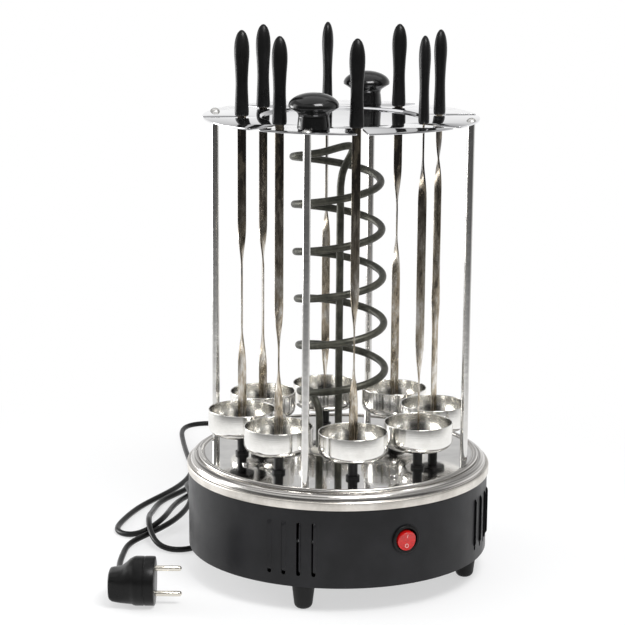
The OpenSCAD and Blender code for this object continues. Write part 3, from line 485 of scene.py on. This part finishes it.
def carve(shape, cutter):
    """The shape with a cutter taken out, as a new shape."""
    body, tool = link("body", shape.mesh("body")), link("tool", cutter.mesh("tool"))
    cut = body.modifiers.new("cut", "BOOLEAN")
    cut.object, cut.operation, cut.solver = tool, "DIFFERENCE", "EXACT"
    result = body.evaluated_get(bpy.context.evaluated_depsgraph_get()).to_mesh()
    out = Shape()
    out.points = [v.co / MM for v in result.vertices]
    out.faces = [list(p.vertices) for p in result.polygons]
    out.flat = [not p.use_smooth for p in result.polygons]
    for made in (body, tool):
        data = made.data
        bpy.data.objects.remove(made)
        bpy.data.meshes.remove(data)
    return out


def block(size, centre):
    shape = Shape()
    x, y, z = (s / 2 for s in size)
    rings = [shape.ring([(sx * x + centre[0], sy * y + centre[1], h * z + centre[2])
                         for sx, sy in ((1, 1), (-1, 1), (-1, -1), (1, -1))]) for h in (-1, 1)]
    shape.skin(rings)
    return shape


def rounded(corners, steps=5):
    """A loop of corners (x, y, radius), each corner with a radius made an arc."""
    line = []
    for i, (x, y, radius) in enumerate(corners):
        corner = Vector((x, y))
        if not radius:
            line.append(corner)
            continue
        a = (Vector(corners[i - 1][:2]) - corner).normalized()
        b = (Vector(corners[(i + 1) % len(corners)][:2]) - corner).normalized()
        half = a.angle(b) / 2
        centre = corner + (a + b).normalized() * radius / math.sin(half)
        start, end = (corner + v * radius / math.tan(half) - centre for v in (a, b))
        turn = start.angle(end)
        for s in range(steps + 1):
            t = s / steps
            line.append(centre + (start * math.sin((1 - t) * turn) + end * math.sin(t * turn))
                        / math.sin(turn))
    return [tuple(p) for p in line]


def arc(x, y, radius, start, end, steps):
    return [(x + radius * math.cos((start + (end - start) * i / steps) * RAD),
             y + radius * math.sin((start + (end - start) * i / steps) * RAD))
            for i in range(steps + 1)]


def circle(x, y, radius, z, count=48):
    return [(x + radius * math.cos(math.tau * j / count),
             y + radius * math.sin(math.tau * j / count), z) for j in range(count)]


OUTWARD = Matrix.Rotation(90 * RAD, 4, "Y")
POSTS = [POST_ANGLE + 90 * k for k in range(4)]
PILLARS = [POST_ANGLE + 45 + 90 * k for k in range(4)]
CUPS = [FIRST_CUP + 45 * k for k in range(8)]

# Lead: the route of part.scad, in metres
LEAD_R, LEAD_LENGTH = 0.00225, 1.587
LEAD_ROUTE = [tuple(heading(GLAND_ANGLE, r, GLAND_Z) * MM) for r in (141.5, 150.5)] + [
    (-0.043, 0.162, 0.032), (-0.051, 0.192, 0.010), (-0.057, 0.222, 0.0023),
    (-0.064, 0.255, 0.0023), (-0.082, 0.325, 0.0023), (-0.094, 0.394, 0.0023),
    (-0.149, 0.390, 0.0023), (-0.142, 0.334, 0.0023), (-0.134, 0.281, 0.0023),
    (-0.123, 0.230, 0.0023), (-0.135, 0.180, 0.0023), (-0.161, 0.136, 0.0023),
    (-0.172, 0.095, 0.0023), (-0.177, 0.064, 0.0023), (-0.155, 0.051, 0.0023),
    (-0.132, 0.067, 0.016), (-0.135, 0.154, 0.0023), (-0.074, 0.193, 0.014),
    (-0.074, 0.236, 0.0023), (-0.115, 0.240, 0.0023), (-0.121, 0.184, 0.0023),
    (-0.148, 0.149, 0.0023), (-0.150, 0.111, 0.0023), (-0.149, 0.058, 0.0182),
    (-0.141, 0.023, 0.0023), (-0.112, 0.019, 0.0023), (-0.093, 0.054, 0.0023),
    (-0.082, 0.106, 0.0023), (-0.078, 0.161, 0.0023), (-0.104, 0.190, 0.0023),
    (-0.133, 0.173, 0.012), (-0.114, 0.127, 0.0125), (-0.128, 0.066, 0.009),
    (-0.161, 0.039, 0.0035), (-0.163, 0.018, 0.0023), (-0.164, -0.014, 0.0023),
    (-0.160, -0.042, 0.0024), (-0.158, -0.061, 0.01775), (-0.158, -0.072, 0.01775)]
route = spline(LEAD_ROUTE, 8)
curve = bpy.data.curves.new("mains_lead", "CURVE")
curve.dimensions = "3D"
curve.bevel_depth, curve.bevel_resolution, curve.use_fill_caps = LEAD_R, 5, True
line = curve.splines.new("POLY")
line.points.add(len(route) - 1)
for point, place in zip(line.points, route):
    point.co = (*place, 1)
lead = piece("mains_lead", curve, "cord_rubber", nodes=["lead"])


def oval(x, half_y, half_z, power, sink=0.0):
    """Ring of a superellipse across X, its middle let down by sink."""
    points = []
    for j in range(64):
        c, s = math.cos(math.tau * j / 64), math.sin(math.tau * j / 64)
        points.append((x, half_y * math.copysign(abs(c) ** (2 / power), c),
                       half_z * math.copysign(abs(s) ** (2 / power), s) - sink))
    return points


# Plug: a round front that narrows to the block that the lead enters, and a ribbed collar
shape = Shape()
stations = [(0, 17.0, 17.0, 2), (-0.3, 17.5, 17.5, 2), (-0.9, 17.75, 17.75, 2),
            (-7.0, 17.75, 17.75, 2), (-7.3, 17.45, 17.45, 2), (-7.9, 17.45, 17.45, 2),
            (-8.2, 17.75, 17.75, 2), (-13.6, 17.75, 17.75, 2), (-15.0, 17.4, 17.4, 2),
            (-16.2, 16.5, 16.8, 2), (-18.0, 15.8, 16.1, 2.1, 0.4), (-21.0, 15.0, 14.2, 2.4, 1.6),
            (-24.0, 14.1, 12.4, 2.9, 2.6), (-27.0, 13.3, 11.4, 3.5, 2.8),
            (-30.0, 12.8, 10.8, 4, 2.6), (-32.0, 12.2, 9.9, 4, 2.1), (-32.8, 11.3, 8.9, 3.6, 1.8),
            (-33.0, 9.8, 7.4, 3.2, 1.6)]
shape.skin([shape.ring(oval(*s)) for s in stations])
collar = [(0, 4.0), (5.6, 4.0)]
for rib in range(4):
    y = 8.4 + 2.7 * rib
    collar += [(5.45 - 0.25 * rib, y), (4.3 - 0.2 * rib, y + 0.5), (4.3 - 0.2 * rib, y + 1.1),
               (5.3 - 0.25 * rib, y + 1.6)]
collar += [(3.6, 20.0), (0, 20.0)]
shape.revolve(rounded([(*c, 0.25 if 0.1 < c[0] else 0) for c in collar], 3), 40,
              Matrix.Translation((-28.5, 0, 0)) @ Matrix.Rotation(-90 * RAD, 4, "X"))
shape.move(Matrix.Translation((PLUG_X, PLUG_Y, PLUG_R)))
plug = piece("plug_housing", shape, "black_plastic", nodes=["plug_body"])

shape = Shape()
for s in (-1, 1):
    shape.revolve([(0, -11.95), (1.5, -11.95), (1.5, 0), (1.7, 0), (2, 0.3), (2, 16.6)]
                  + arc(0, 17, 2, -10, 90, 8), 40,
                  Matrix.Translation((PLUG_X, PLUG_Y, PLUG_R + s * PIN_SPACING / 2)) @ OUTWARD)
pins = piece("plug_contacts", shape, "zinc_steel", nodes=["plug_pins"], look=PIN_LOOK)

# Strain relief: a collar on the drum, then a tapered tail with cuts all round
tail = [(0, -5.2), (6.0, -5.2), (6.0, -1.7), (4.5, -1.7), (4.5, 0.5), (6.5, 0.5), (6.5, 2.7),
        (6.2, 3.0)]
for cut in range(7):
    near, far = 4.4 + 3.6 * cut, 5.9 + 3.6 * cut
    r_near, r_far = (3.35 + 1.15 * (1 - (z - 3) / 27) ** 1.5 for z in (near, far))
    tail += [(r_near, near), (r_near - 0.7, near + 0.2), (r_far - 0.7, far - 0.2), (r_far, far)]
tail += [(3.35, 30), (0, 30)]
shape = Shape()
shape.revolve(tail, 40, stand(GLAND_ANGLE, DRUM_R, GLAND_Z) @ OUTWARD)
relief = piece("lead_relief", shape, "black_rubber", nodes=["strain_relief"])

# Every CAD node that stays gets the material of its slot
for part in frame["record"]["subparts"]:
    mesh = frame["nodes"][part["node"]].data
    for index in range(len(mesh.materials)):
        mesh.materials[index] = LOOKS[part["material_slot"]]

# Feet
shape = Shape()
for angle in POSTS:
    shape.revolve(rounded([(0, 0, 0), (6.2, 0, 4.2), (8.2, 17, 1.0), (8.2, 20, 0.3), (3, 20, 0),
                           (3, 21.2, 0), (4.5, 21.2, 0), (3.5, 23.2, 0.5), (0, 23.2, 0)]), 64,
                  stand(angle, FOOT_R))
piece("rubber_feet", shape, "black_rubber", nodes=["feet"])

# Louvres: a pressed fin on the far edge of each vent, bent by its own amount
FIN_ROOT, FIN_T, FIN_END = 1.95, 0.55, 0.07
shape = Shape()
for group in range(4):
    for index, (lift, reach) in enumerate(((1.4, -0.9), (1.4, -0.8), (1.2, 0.7), (1.4, -0.1))):
        rings = []
        for s in [i / 40 for i in range(41)]:
            rise = lift * min(1, s / FIN_END, (1 - s) / FIN_END) ** 0.5
            bend = [(rise * math.sin(t * 90 * RAD) + 0.02, FIN_ROOT + (reach - FIN_ROOT) * t)
                    for t in (0, 0.15, 0.3, 0.5, 0.75, 1)]
            line = bend + [(x - FIN_T, y) for x, y in reversed(bend)]
            rings.append(shape.ring([(x, y, VENT_Z + 3 + (VENT_LEN - 3.2) * s) for x, y in line]))
        turn = VENT_ANGLE + 90 * group + (index - 1.5) * VENT_STEP
        first = rings[0][0]
        shape.skin(rings)
        shape.move(stand(turn, DRUM_R), first)
piece("vent_louvres", shape, "black_paint")

# Cover: skirt, step, rolled shoulder, groove, bead and floor with its holes
SIDES = 192
profile = ([(112.1, 77.3), (112.4, 77.4), (112.5, 77.7)] + arc(111.5, 82.4, 1, 0, 90, 6)
           + [(110.3, 83.4)] + arc(105.2, 83.4, 5, 2, 90, 18)
           + [(104.4, 88.35)] + arc(102.7, 89.0, 1.6, -28, 172, 20) + [(99.9, 89.2)])
under = [(99.9, 88.4), (101.9, 88.4), (104.7, 87.6), (107.6, 86.6), (109.3, 84.2), (109.9, 82.6),
         (111.5, 82.6), (111.7, 82.3), (111.7, 77.3)]
shape = Shape()
rings = shape.revolve(profile + under, SIDES)
top_ring, low_ring = rings[len(profile) - 1], rings[len(profile)]
shape.faces = [f for f in shape.faces if not (set(f) & set(top_ring) and set(f) & set(low_ring))]
shape.flat = [False] * len(shape.faces)
holes = ([(*heading(a, CUP_CIRCLE)[:2], 5.05) for a in CUPS]
         + [(*heading(a, POST_R)[:2], SCREW_HOLE) for a in POSTS]
         + [(*heading(a, PILLAR_R)[:2], SCREW_HOLE) for a in PILLARS]
         + [(BRACKET_X, 0, 15), (BRACKET_X, BRACKET_Y, SCREW_HOLE),
            (BRACKET_X, -BRACKET_Y, SCREW_HOLE)])
upper = [shape.ring(circle(x, y, r, FLOOR_Z)) for x, y, r in holes]
lower = [shape.ring(circle(x, y, r, FLOOR_Z - SHEET)) for x, y, r in holes]
shape.fill([top_ring] + upper)
shape.fill([low_ring] + lower)
for a, b in zip(upper, lower):
    shape.bridge(a, b)
piece("cover_shell", shape, "polished_steel", nodes=["top_cover"], look=COVER_LOOK)


def plate_outline(inset, z):
    """Rim of the top plate with its eight open slots, drawn in by inset."""
    rim, half, line = PLATE_R - inset, 3.8 + inset, []
    mouth = math.asin(half / rim) / RAD
    for angle in CUPS:
        frame_of = stand(angle, 0)
        reach = math.sqrt(rim ** 2 - half ** 2)
        slot = ([(reach, -half, 0.9)]
                + [(x + CUP_CIRCLE, y, 0) for x, y in arc(0, 0, half, -90, -270, 16)]
                + [(reach, half, 0.9)])
        arcs = [(rim * math.cos(t * RAD), rim * math.sin(t * RAD), 0)
                for t in [mouth + (45 - 2 * mouth) * i / 14 for i in range(1, 14)]]
        before = (rim * math.cos(-(mouth + 3) * RAD), rim * math.sin(-(mouth + 3) * RAD), 0)
        corners = rounded([before] + slot + arcs, 5)[1:]
        line += [tuple(frame_of @ Vector((x, y, z))) for x, y in corners]
    return line


# Top plate: rim and slots with rounded edges, and the stamped recess
EDGE = 0.3
shape = Shape()
loops = [shape.ring(plate_outline(inset, z)) for inset, z in (
    (EDGE, PLATE_Z), (EDGE * 0.3, PLATE_Z - EDGE * 0.3), (0, PLATE_Z - EDGE),
    (0, PLATE_Z - PLATE_T + EDGE), (EDGE * 0.3, PLATE_Z - PLATE_T + EDGE * 0.3),
    (EDGE, PLATE_Z - PLATE_T))]
for a, b in zip(loops, loops[1:]):
    shape.bridge(a, b)
for outline, drop in ((loops[0], 0.0), (loops[-1], PLATE_T)):
    recess = rounded([(61.5, 0, 0), (59.3, 0, 1.6), (57.3, -1.8, 1.6), (0, -1.8, 0)], 8)[:-1]
    rings = [shape.ring(circle(0, 0, r, PLATE_Z - drop + z, SIDES)) for r, z in recess]
    for a, b in zip(rings, rings[1:]):
        shape.bridge(a, b)
    shape.face(rings[-1], True)
    shape.fill([outline, rings[0]])
piece("slotted_plate", shape, "polished_steel", nodes=["top_plate"])


# Screws with cross recesses
def cross_carved(shape, size, depth, top_z):
    width = size * 0.24
    for box_size in ((size, width, 2 * depth), (width, size, 2 * depth)):
        shape = carve(shape, block(box_size, (0, 0, top_z)))
    return shape


DOME_HALF, DOME_H = 3.6, 2.2
dome = Shape()
dome_r = (DOME_HALF ** 2 + DOME_H ** 2) / (2 * DOME_H)
half = math.asin(DOME_HALF / dome_r) / RAD
dome.revolve([(0, -9), (1.5, -9), (1.5, 0), (3.5, 0)]
             + arc(0, DOME_H - dome_r, dome_r, 90 - half, 90, 12), 48)
dome = cross_carved(dome, 3.4, 0.9, DOME_H)
shape = Shape()
for index, angle in enumerate(POSTS):
    turn = Matrix.Rotation((17 + 31 * index) * RAD, 4, "Z")
    shape.add(dome, stand(angle, POST_R, PLATE_Z) @ turn)
piece("plate_screws", shape, "zinc_steel", nodes=["dome_screws"])


def pan(length):
    shape = Shape()
    shape.revolve([(0, -length), (1.5, -length), (1.5, 0), (2.8, 0)]
                  + arc(1.9, 0.8, 0.9, 0, 90, 6) + [(0, 1.75)], 32)
    return cross_carved(shape, 3.0, 0.8, 1.7)


PANS = {length: pan(length) for length in (3.5, 4, 5, 9)}
OVER = Matrix.Rotation(180 * RAD, 4, "X")
places = []
for angle in PILLARS:
    places += [(4, stand(angle, 107, BASE_Z) @ OVER), (9, stand(angle, PILLAR_R, BASE_Z) @ OVER),
               (9, stand(angle, PILLAR_R, FLOOR_Z))]
places += [(9, stand(angle, POST_R, FLOOR_Z - SHEET) @ OVER) for angle in POSTS]
places += [(3.5, Matrix.Translation((BRACKET_X, s * BRACKET_Y, FLOOR_Z))) for s in (-1, 1)]
places += [(5, stand(166, 67.5) @ Matrix.Rotation((60 + s) * RAD, 4, "Z")
            @ Matrix.Translation((30, 0, 54))) for s in (0, 180)]
places += [(9, stand(POST_ANGLE + s, KNOB_R, PLATE_Z - PLATE_T) @ OVER) for s in (0, 180)]
shape = Shape()
for index, (length, matrix) in enumerate(places):
    shape.add(PANS[length], matrix @ Matrix.Rotation(37 * index * RAD, 4, "Z"))
piece("case_screws", shape, "zinc_steel", nodes=["pan_screws"])

# Knobs
profile = ([(0, 0), (10.9, 0), (11.4, 0.5), (11.4, 1)] + arc(14.4, 8.66, 3.8, 198, 118, 14)
           + rounded([(13.5, 12.4, 0), (17.3, 15.1, 0.7), (17.5, 18, 0)], 5)[1:-1]
           + [(17.5 * math.cos(t * RAD), 15.75 + 9.25 * math.sin(t * RAD))
              for t in range(6, 90, 4)] + [(0, 25)])
shape = Shape()
for s in (0, 180):
    shape.revolve(profile, 96, stand(POST_ANGLE + s, KNOB_R, PLATE_Z))
piece("plate_knobs", shape, "black_gloss_plastic", nodes=["knobs"])


# Heater: the path of part.scad
COIL_R, COIL_Z, COIL_PITCH, COIL_LEAN = 31.6, 135.2, 35, 6
TUBE_R, LEG_X, LEG_Z = 2.75, -14, 65.2


def coil_point(turn, radius):
    """Point of the coil after so many turns; its axis leans to -X from bottom to top."""
    angle = 360 * turn - 90
    return Vector((radius * math.sin(angle * RAD) + COIL_LEAN * (0.5 - turn / 5),
                   -radius * math.cos(angle * RAD), COIL_Z + COIL_PITCH * turn))


path = [Vector((LEG_X, 0, LEG_Z)), Vector((LEG_X, 0, 77.2))]
path += spline([(LEG_X, 0, 95.2), (LEG_X, 0, 109.2), (LEG_X, 1, 121.2), (-19, 5, 130.2),
                coil_point(-0.1, 29.6), coil_point(-0.04, COIL_R)], 8)
path += [coil_point(i / 60, COIL_R) for i in range(301)]
path += spline([coil_point(5.06, 31), coil_point(5.13, 26.6), (-12, -20, 316.2), (4, -9, 320.2),
                (10, -1, 318.2), (7, 3, 310.2), (1, 1, 300.2), (0, 0, 288.2)], 8)
path += [Vector((0, 0, LEG_Z + 223 * s / 12)) for s in range(11, -1, -1)]
shape = Shape()
shape.sweep(path, TUBE_R, 20)
for x in (0, LEG_X):
    shape.revolve([(0, 57.2), (1.2, 57.2), (1.2, 66.2), (0, 66.2)], 20,
                  Matrix.Translation((x, 0, 0)))
piece("heater_tube", shape, "heater_sheath", nodes=["heater_coil"])

# Switch: bezel with its well and barrel, and the rocker
AT_SWITCH = stand(SWITCH_ANGLE, DRUM_R, SWITCH_Z)
shape = Shape()
shape.revolve(rounded([(0, -22, 0), (9.4, -22, 0.5), (9.4, 0.05, 0), (10.5, 0.05, 0.1),
                       (10.5, 1.8, 0.9), (8.2, 1.8, 0.35), (8.2, -7.2, 0), (0, -7.2, 0)], 6),
              96, AT_SWITCH @ OUTWARD)
piece("switch_bezel", shape, "black_plastic", nodes=["switch_body"])

ROCKER_R, PIVOT = 7.1, -3.2
TILTED = (AT_SWITCH @ Matrix.Translation((PIVOT, 0, 0)) @ Matrix.Rotation(8 * RAD, 4, "Y"))


def rocker_top(v):
    """Height of the rocker's face above its pivot; both ends stand higher than the middle."""
    return 5.0 + 1.6 * abs(v / ROCKER_R) ** 1.35


shape = Shape()
rings = [shape.ring([(rocker_top(0), 0, 0)])]
for share, sink in [(s / 10, 0.0) for s in range(1, 10)] + [(0.94, 0.0), (0.975, 0.08), (1, 0.4)]:
    rings.append(shape.ring([(rocker_top(share * ROCKER_R * math.sin(math.tau * j / 64)) - sink,
                              share * ROCKER_R * math.cos(math.tau * j / 64),
                              share * ROCKER_R * math.sin(math.tau * j / 64))
                             for j in range(64)]))
for depth, share in ((1.2, 1), (-2.9, 0.36)):
    rings.append(shape.ring([(depth, ROCKER_R * math.cos(math.tau * j / 64),
                              share * ROCKER_R * math.sin(math.tau * j / 64)) for j in range(64)]))
shape.skin(rings)
shape.revolve([(0, -8.8), (1.2, -8.8), (1.2, 8.8), (0, 8.8)], 24, Matrix.Rotation(90 * RAD, 4, "X"))
shape.move(TILTED)
piece("switch_key", shape, "red_lens", body="rocker", nodes=["switch_rocker"])

shape = Shape()
outer, inner = ([(r * math.cos(math.tau * j / 32), -3.7 + r * math.sin(math.tau * j / 32))
                 for j in range(32)] for r in (1.5, 1.05))
rings = [shape.ring([(rocker_top(v) + lift, u, v) for u, v in line])
         for line, lift in ((outer, -0.1), (outer, 0.06), (inner, 0.06), (inner, -0.1))]
shape.skin(rings + rings[:1], caps=False)
bar = [(-0.25, 2.3), (0.25, 2.3), (0.25, 5.0), (-0.25, 5.0)]
shape.skin([shape.ring([(rocker_top(v) + lift, u, v) for u, v in bar]) for lift in (-0.1, 0.06)])
shape.move(TILTED)
piece("switch_marks", shape, "white_nylon", body="rocker", look=MARK_LOOK)


# Cups, skewers and handles
def handle_share(height):
    """Half width of a handle at a share of its height, through the shares of part.scad."""
    for (h0, w0, s0), (h1, w1, s1) in zip(HANDLE, HANDLE[1:]):
        if height <= h1:
            d, t = h1 - h0, (height - h0) / (h1 - h0)
            return ((2 * t ** 3 - 3 * t ** 2 + 1) * w0 + (t ** 3 - 2 * t ** 2 + t) * d * s0
                    + (3 * t ** 2 - 2 * t ** 3) * w1 + (t ** 3 - t ** 2) * d * s1)
    return HANDLE[-1][1]


SHARES = [(0, 0.88), (0.04, 0.93), (0.18, 0.87), (0.38, 0.8), (0.56, 0.88), (0.72, 1),
          (0.82, 0.97), (0.9, 0.82), (0.96, 0.57), (0.99, 0.3)]
HANDLE = []
for i, (h, w) in enumerate(SHARES):
    (h0, w0), (h1, w1) = SHARES[max(i - 1, 0)], SHARES[min(i + 1, len(SHARES) - 1)]
    HANDLE.append((h, w, (w1 - w0) / (h1 - h0)))


def twist(k, z):
    """How far blade k is turned at a height: its own turn, then two smooth quarter twists."""
    turn = SKEWER_TURN[k]
    for depth in (TWIST_UPPER[k], TWIST_LOWER[k]):
        s = min(max((PLATE_Z - depth - z) / TWIST_LEN + 0.5, 0), 1)
        turn += 90 * s * s * (3 - 2 * s)
    return turn * RAD


def blade(k):
    """Twisted strip with rounded edges and a tapered point."""
    shape, rings = Shape(), []
    half, thin, edge, taper = 3.1, 0.6, 0.3, 9
    heights = [TIP_Z + taper * (i / 8) for i in range(9)]
    heights += [TIP_Z + taper + (TANG_TOP - TIP_Z - taper) * i / 150 for i in range(1, 151)]
    for z in heights:
        width = half * min(1, 0.25 + 0.75 * (z - TIP_Z) / taper)
        turn = Matrix.Rotation(twist(k, z), 3, "Z")
        section = rounded([(width, thin, edge), (-width, thin, edge), (-width, -thin, edge),
                           (width, -thin, edge)], 3)
        rings.append(shape.ring([turn @ Vector((x, y, z)) for x, y in section]))
    shape.skin(rings)
    shape.move(Matrix.Translation(heading(CUPS[k], CUP_CIRCLE)))
    return shape


def grip(k):
    """Handle: flattened, waisted, round at the tip, with a fine mould seam on each edge."""
    shape, rings, count = Shape(), [], 48
    levels = [(0.0, 0.9), (0.004, 0.97), (0.012, 1.0)] + [(h / 56, 1.0) for h in range(1, 56)]
    for height, share in sorted(levels):
        width = HANDLE_HALF * share * handle_share(min(height, 0.99))
        line = []
        for j in range(count):
            a = math.tau * j / count
            seam = 0.07 if j % (count // 2) == 0 and height < 0.97 else 0
            line.append(((width + seam) * math.cos(a), width * HANDLE_FLAT * math.sin(a),
                         HANDLE_Z + HANDLE_LEN * height))
        rings.append(shape.ring(line))
    for height, width in ((0.99, 0.3), (0.9965, 0.19), (0.9995, 0.08)):
        rings.append(shape.ring([
            (HANDLE_HALF * width * math.cos(math.tau * j / count),
             HANDLE_HALF * HANDLE_FLAT * width * math.sin(math.tau * j / count),
             HANDLE_Z + HANDLE_LEN * height) for j in range(count)]))
    rings.append(shape.ring([(0, 0, HANDLE_Z + HANDLE_LEN)]))
    shape.skin(rings)
    shape.move(Matrix.Translation(heading(CUPS[k], CUP_CIRCLE))
               @ Matrix.Rotation(SKEWER_TURN[k] * RAD, 4, "Z"))
    return shape


CUP = ([(6.05, 0)] + arc(18.5, 6.5, 6.5, -90, 0, 14)
       + rounded([(25, 7, 0), (25, 19, 0.38), (24.2, 19, 0.38), (24.2, 7, 0)], 5)[1:-1]
       + arc(18.5, 6.5, 5.7, 0, -90, 12) + [(6.05, 0.8)])
for k, angle in enumerate(CUPS):
    shape = Shape()
    shape.revolve(CUP, 96)
    place = Matrix.Translation(heading(angle, CUP_CIRCLE, CUP_Z) * MM)
    cup = shape.mesh(f"drip_cup_{k + 1}")
    cup.materials.append(LOOKS["cup_steel"])
    made = link(f"drip_cup_{k + 1}", cup)
    made.matrix_world = place
    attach(made, f"spindle_{k + 1}")
    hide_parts(f"cup_{k + 1}")
    piece(f"blade_{k + 1}", blade(k), "blade_steel", f"skewer_{k + 1}", [f"skewer_{k + 1}"])
    piece(f"grip_{k + 1}", grip(k), "black_plastic", f"skewer_{k + 1}", [f"handle_{k + 1}"])


# Stage: floor, world and lights
STAGE_R = 4000


class Stage(Graph):
    """Floor or world: its own surface for light, a painted tone for what is seen or mirrored."""

    def __init__(self, owner):
        super().__init__(owner)
        self.rays = self.node("ShaderNodeLightPath").outputs
        self.axes = self.node("ShaderNodeTexCoord").outputs

    def seen(self):
        """1 for rays from the camera, off metal or through clear plastic."""
        either = self.math("MAXIMUM", self.rays["Is Camera Ray"], self.rays["Is Glossy Ray"])
        return self.math("MAXIMUM", either, self.rays["Is Transmission Ray"])

    def finish(self, share, own, painted, output):
        mixed = self.node("ShaderNodeMixShader", {0: share, 1: own, 2: painted})
        self.tree.links.new(mixed.outputs[0], self.tree.nodes[output].inputs["Surface"])


def stage_floor():
    """Pale floor, white to the eye far away. In metal it is white near the object and behind it,
    and ends in a dark room towards the front."""
    mat = bpy.data.materials.new("floor")
    floor = Stage(mat)
    shader = floor.tree.nodes["Principled BSDF"]
    shader.inputs["Base Color"].default_value = (0.9, 0.9, 0.9, 1)
    shader.inputs["Roughness"].default_value = 0.7
    shader.inputs["Specular IOR Level"].default_value = 0.2
    place = floor.axes["Object"]
    far = floor.node("ShaderNodeVectorMath", {0: place}, operation="LENGTH").outputs["Value"]
    depth = floor.node("ShaderNodeSeparateXYZ", {0: place}).outputs["Y"]
    share = floor.span(far, 0.16, 0.55, 0.55, 1.0, interpolation_type="SMOOTHSTEP")
    edge = floor.span(far, 0.50, 0.66, 0.0, 1.0, interpolation_type="SMOOTHSTEP")
    behind = floor.span(floor.math("DIVIDE", depth, far), -0.35, 0.55, 0.0, 1.0)
    front = floor.ramp(floor.math("MULTIPLY", far, 0.5), (
        (0.275, 0.86), (0.325, 0.72), (0.37, 0.48), (0.445, 0.32), (0.595, 0.21), (0.745, 0.12),
        (1.0, 0.08)))
    room = floor.mix(behind, front, (1, 1, 1))
    mirrored = floor.mix(edge, (1, 1, 1), room)
    tone = floor.mix(floor.rays["Is Glossy Ray"], (1, 1, 1), mirrored)
    glow = floor.node("ShaderNodeEmission", {"Color": tone})
    floor.finish(floor.math("MULTIPLY", floor.seen(), share), shader.outputs[0], glow.outputs[0],
                 "Material Output")
    mesh = bpy.data.meshes.new("floor")
    mesh.from_pydata([(x * MM, y * MM, z) for x, y, z in circle(0, 0, STAGE_R, 0, 96)], [],
                     [list(range(96))])
    mesh.materials.append(mat)
    made = link("floor", mesh)


def world_light():
    """White to the eye. In metal: a dark room in front, a bright backdrop behind."""
    world = bpy.data.worlds.new("studio")
    bpy.context.scene.world = world
    sky = Stage(world)
    back = sky.tree.nodes["Background"]
    back.inputs["Color"].default_value = (0.97, 0.98, 1.0, 1)
    back.inputs["Strength"].default_value = 0.5
    axes = sky.node("ShaderNodeSeparateXYZ", {0: sky.axes["Generated"]}).outputs
    front = sky.ramp(axes["Z"], ((0.0, 0.1), (0.28, 0.16), (0.42, 0.66), (0.66, 0.7), (0.8, 0.25),
                                 (1.0, 0.2)))
    rear = sky.ramp(axes["Z"], ((0.0, 1.0), (0.08, 1.0), (0.24, 0.72), (0.5, 0.38), (1.0, 0.3)))
    room = sky.mix(sky.span(axes["Y"], -0.35, 0.55, 0.0, 1.0), front, rear)
    tone = sky.mix(sky.rays["Is Glossy Ray"], (1, 1, 1), room)
    seen = sky.node("ShaderNodeBackground", {"Color": tone})
    sky.finish(sky.seen(), back.outputs[0], seen.outputs[0], "World Output")


def area(name, place, target, size, power):
    """Soft lamp at a place, turned to a target; metres and watts."""
    light = bpy.data.lights.new(name, "AREA")
    light.shape, light.size, light.size_y, light.energy = "RECTANGLE", *size, power
    made = link(name, light)
    made.location = place
    made.rotation_euler = (Vector(target) - Vector(place)).to_track_quat("-Z", "Y").to_euler()


stage_floor()
world_light()
area("key", (0.31, -0.66, 1.15), (0, 0, 0.25), (0.55, 0.4), 11)
area("above", (0.0, 0.2, 1.6), (0, 0.1, 0.1), (2.2, 1.8), 9)
area("fill", (-1.25, 0.1, 0.5), (0, 0, 0.15), (0.5, 0.8), 4)
area("edge", (-0.88, 0.36, 0.2), (-0.1, -0.05, 0.05), (0.4, 0.34), 3.5)

bpy.context.scene.view_settings.view_transform = "Standard"
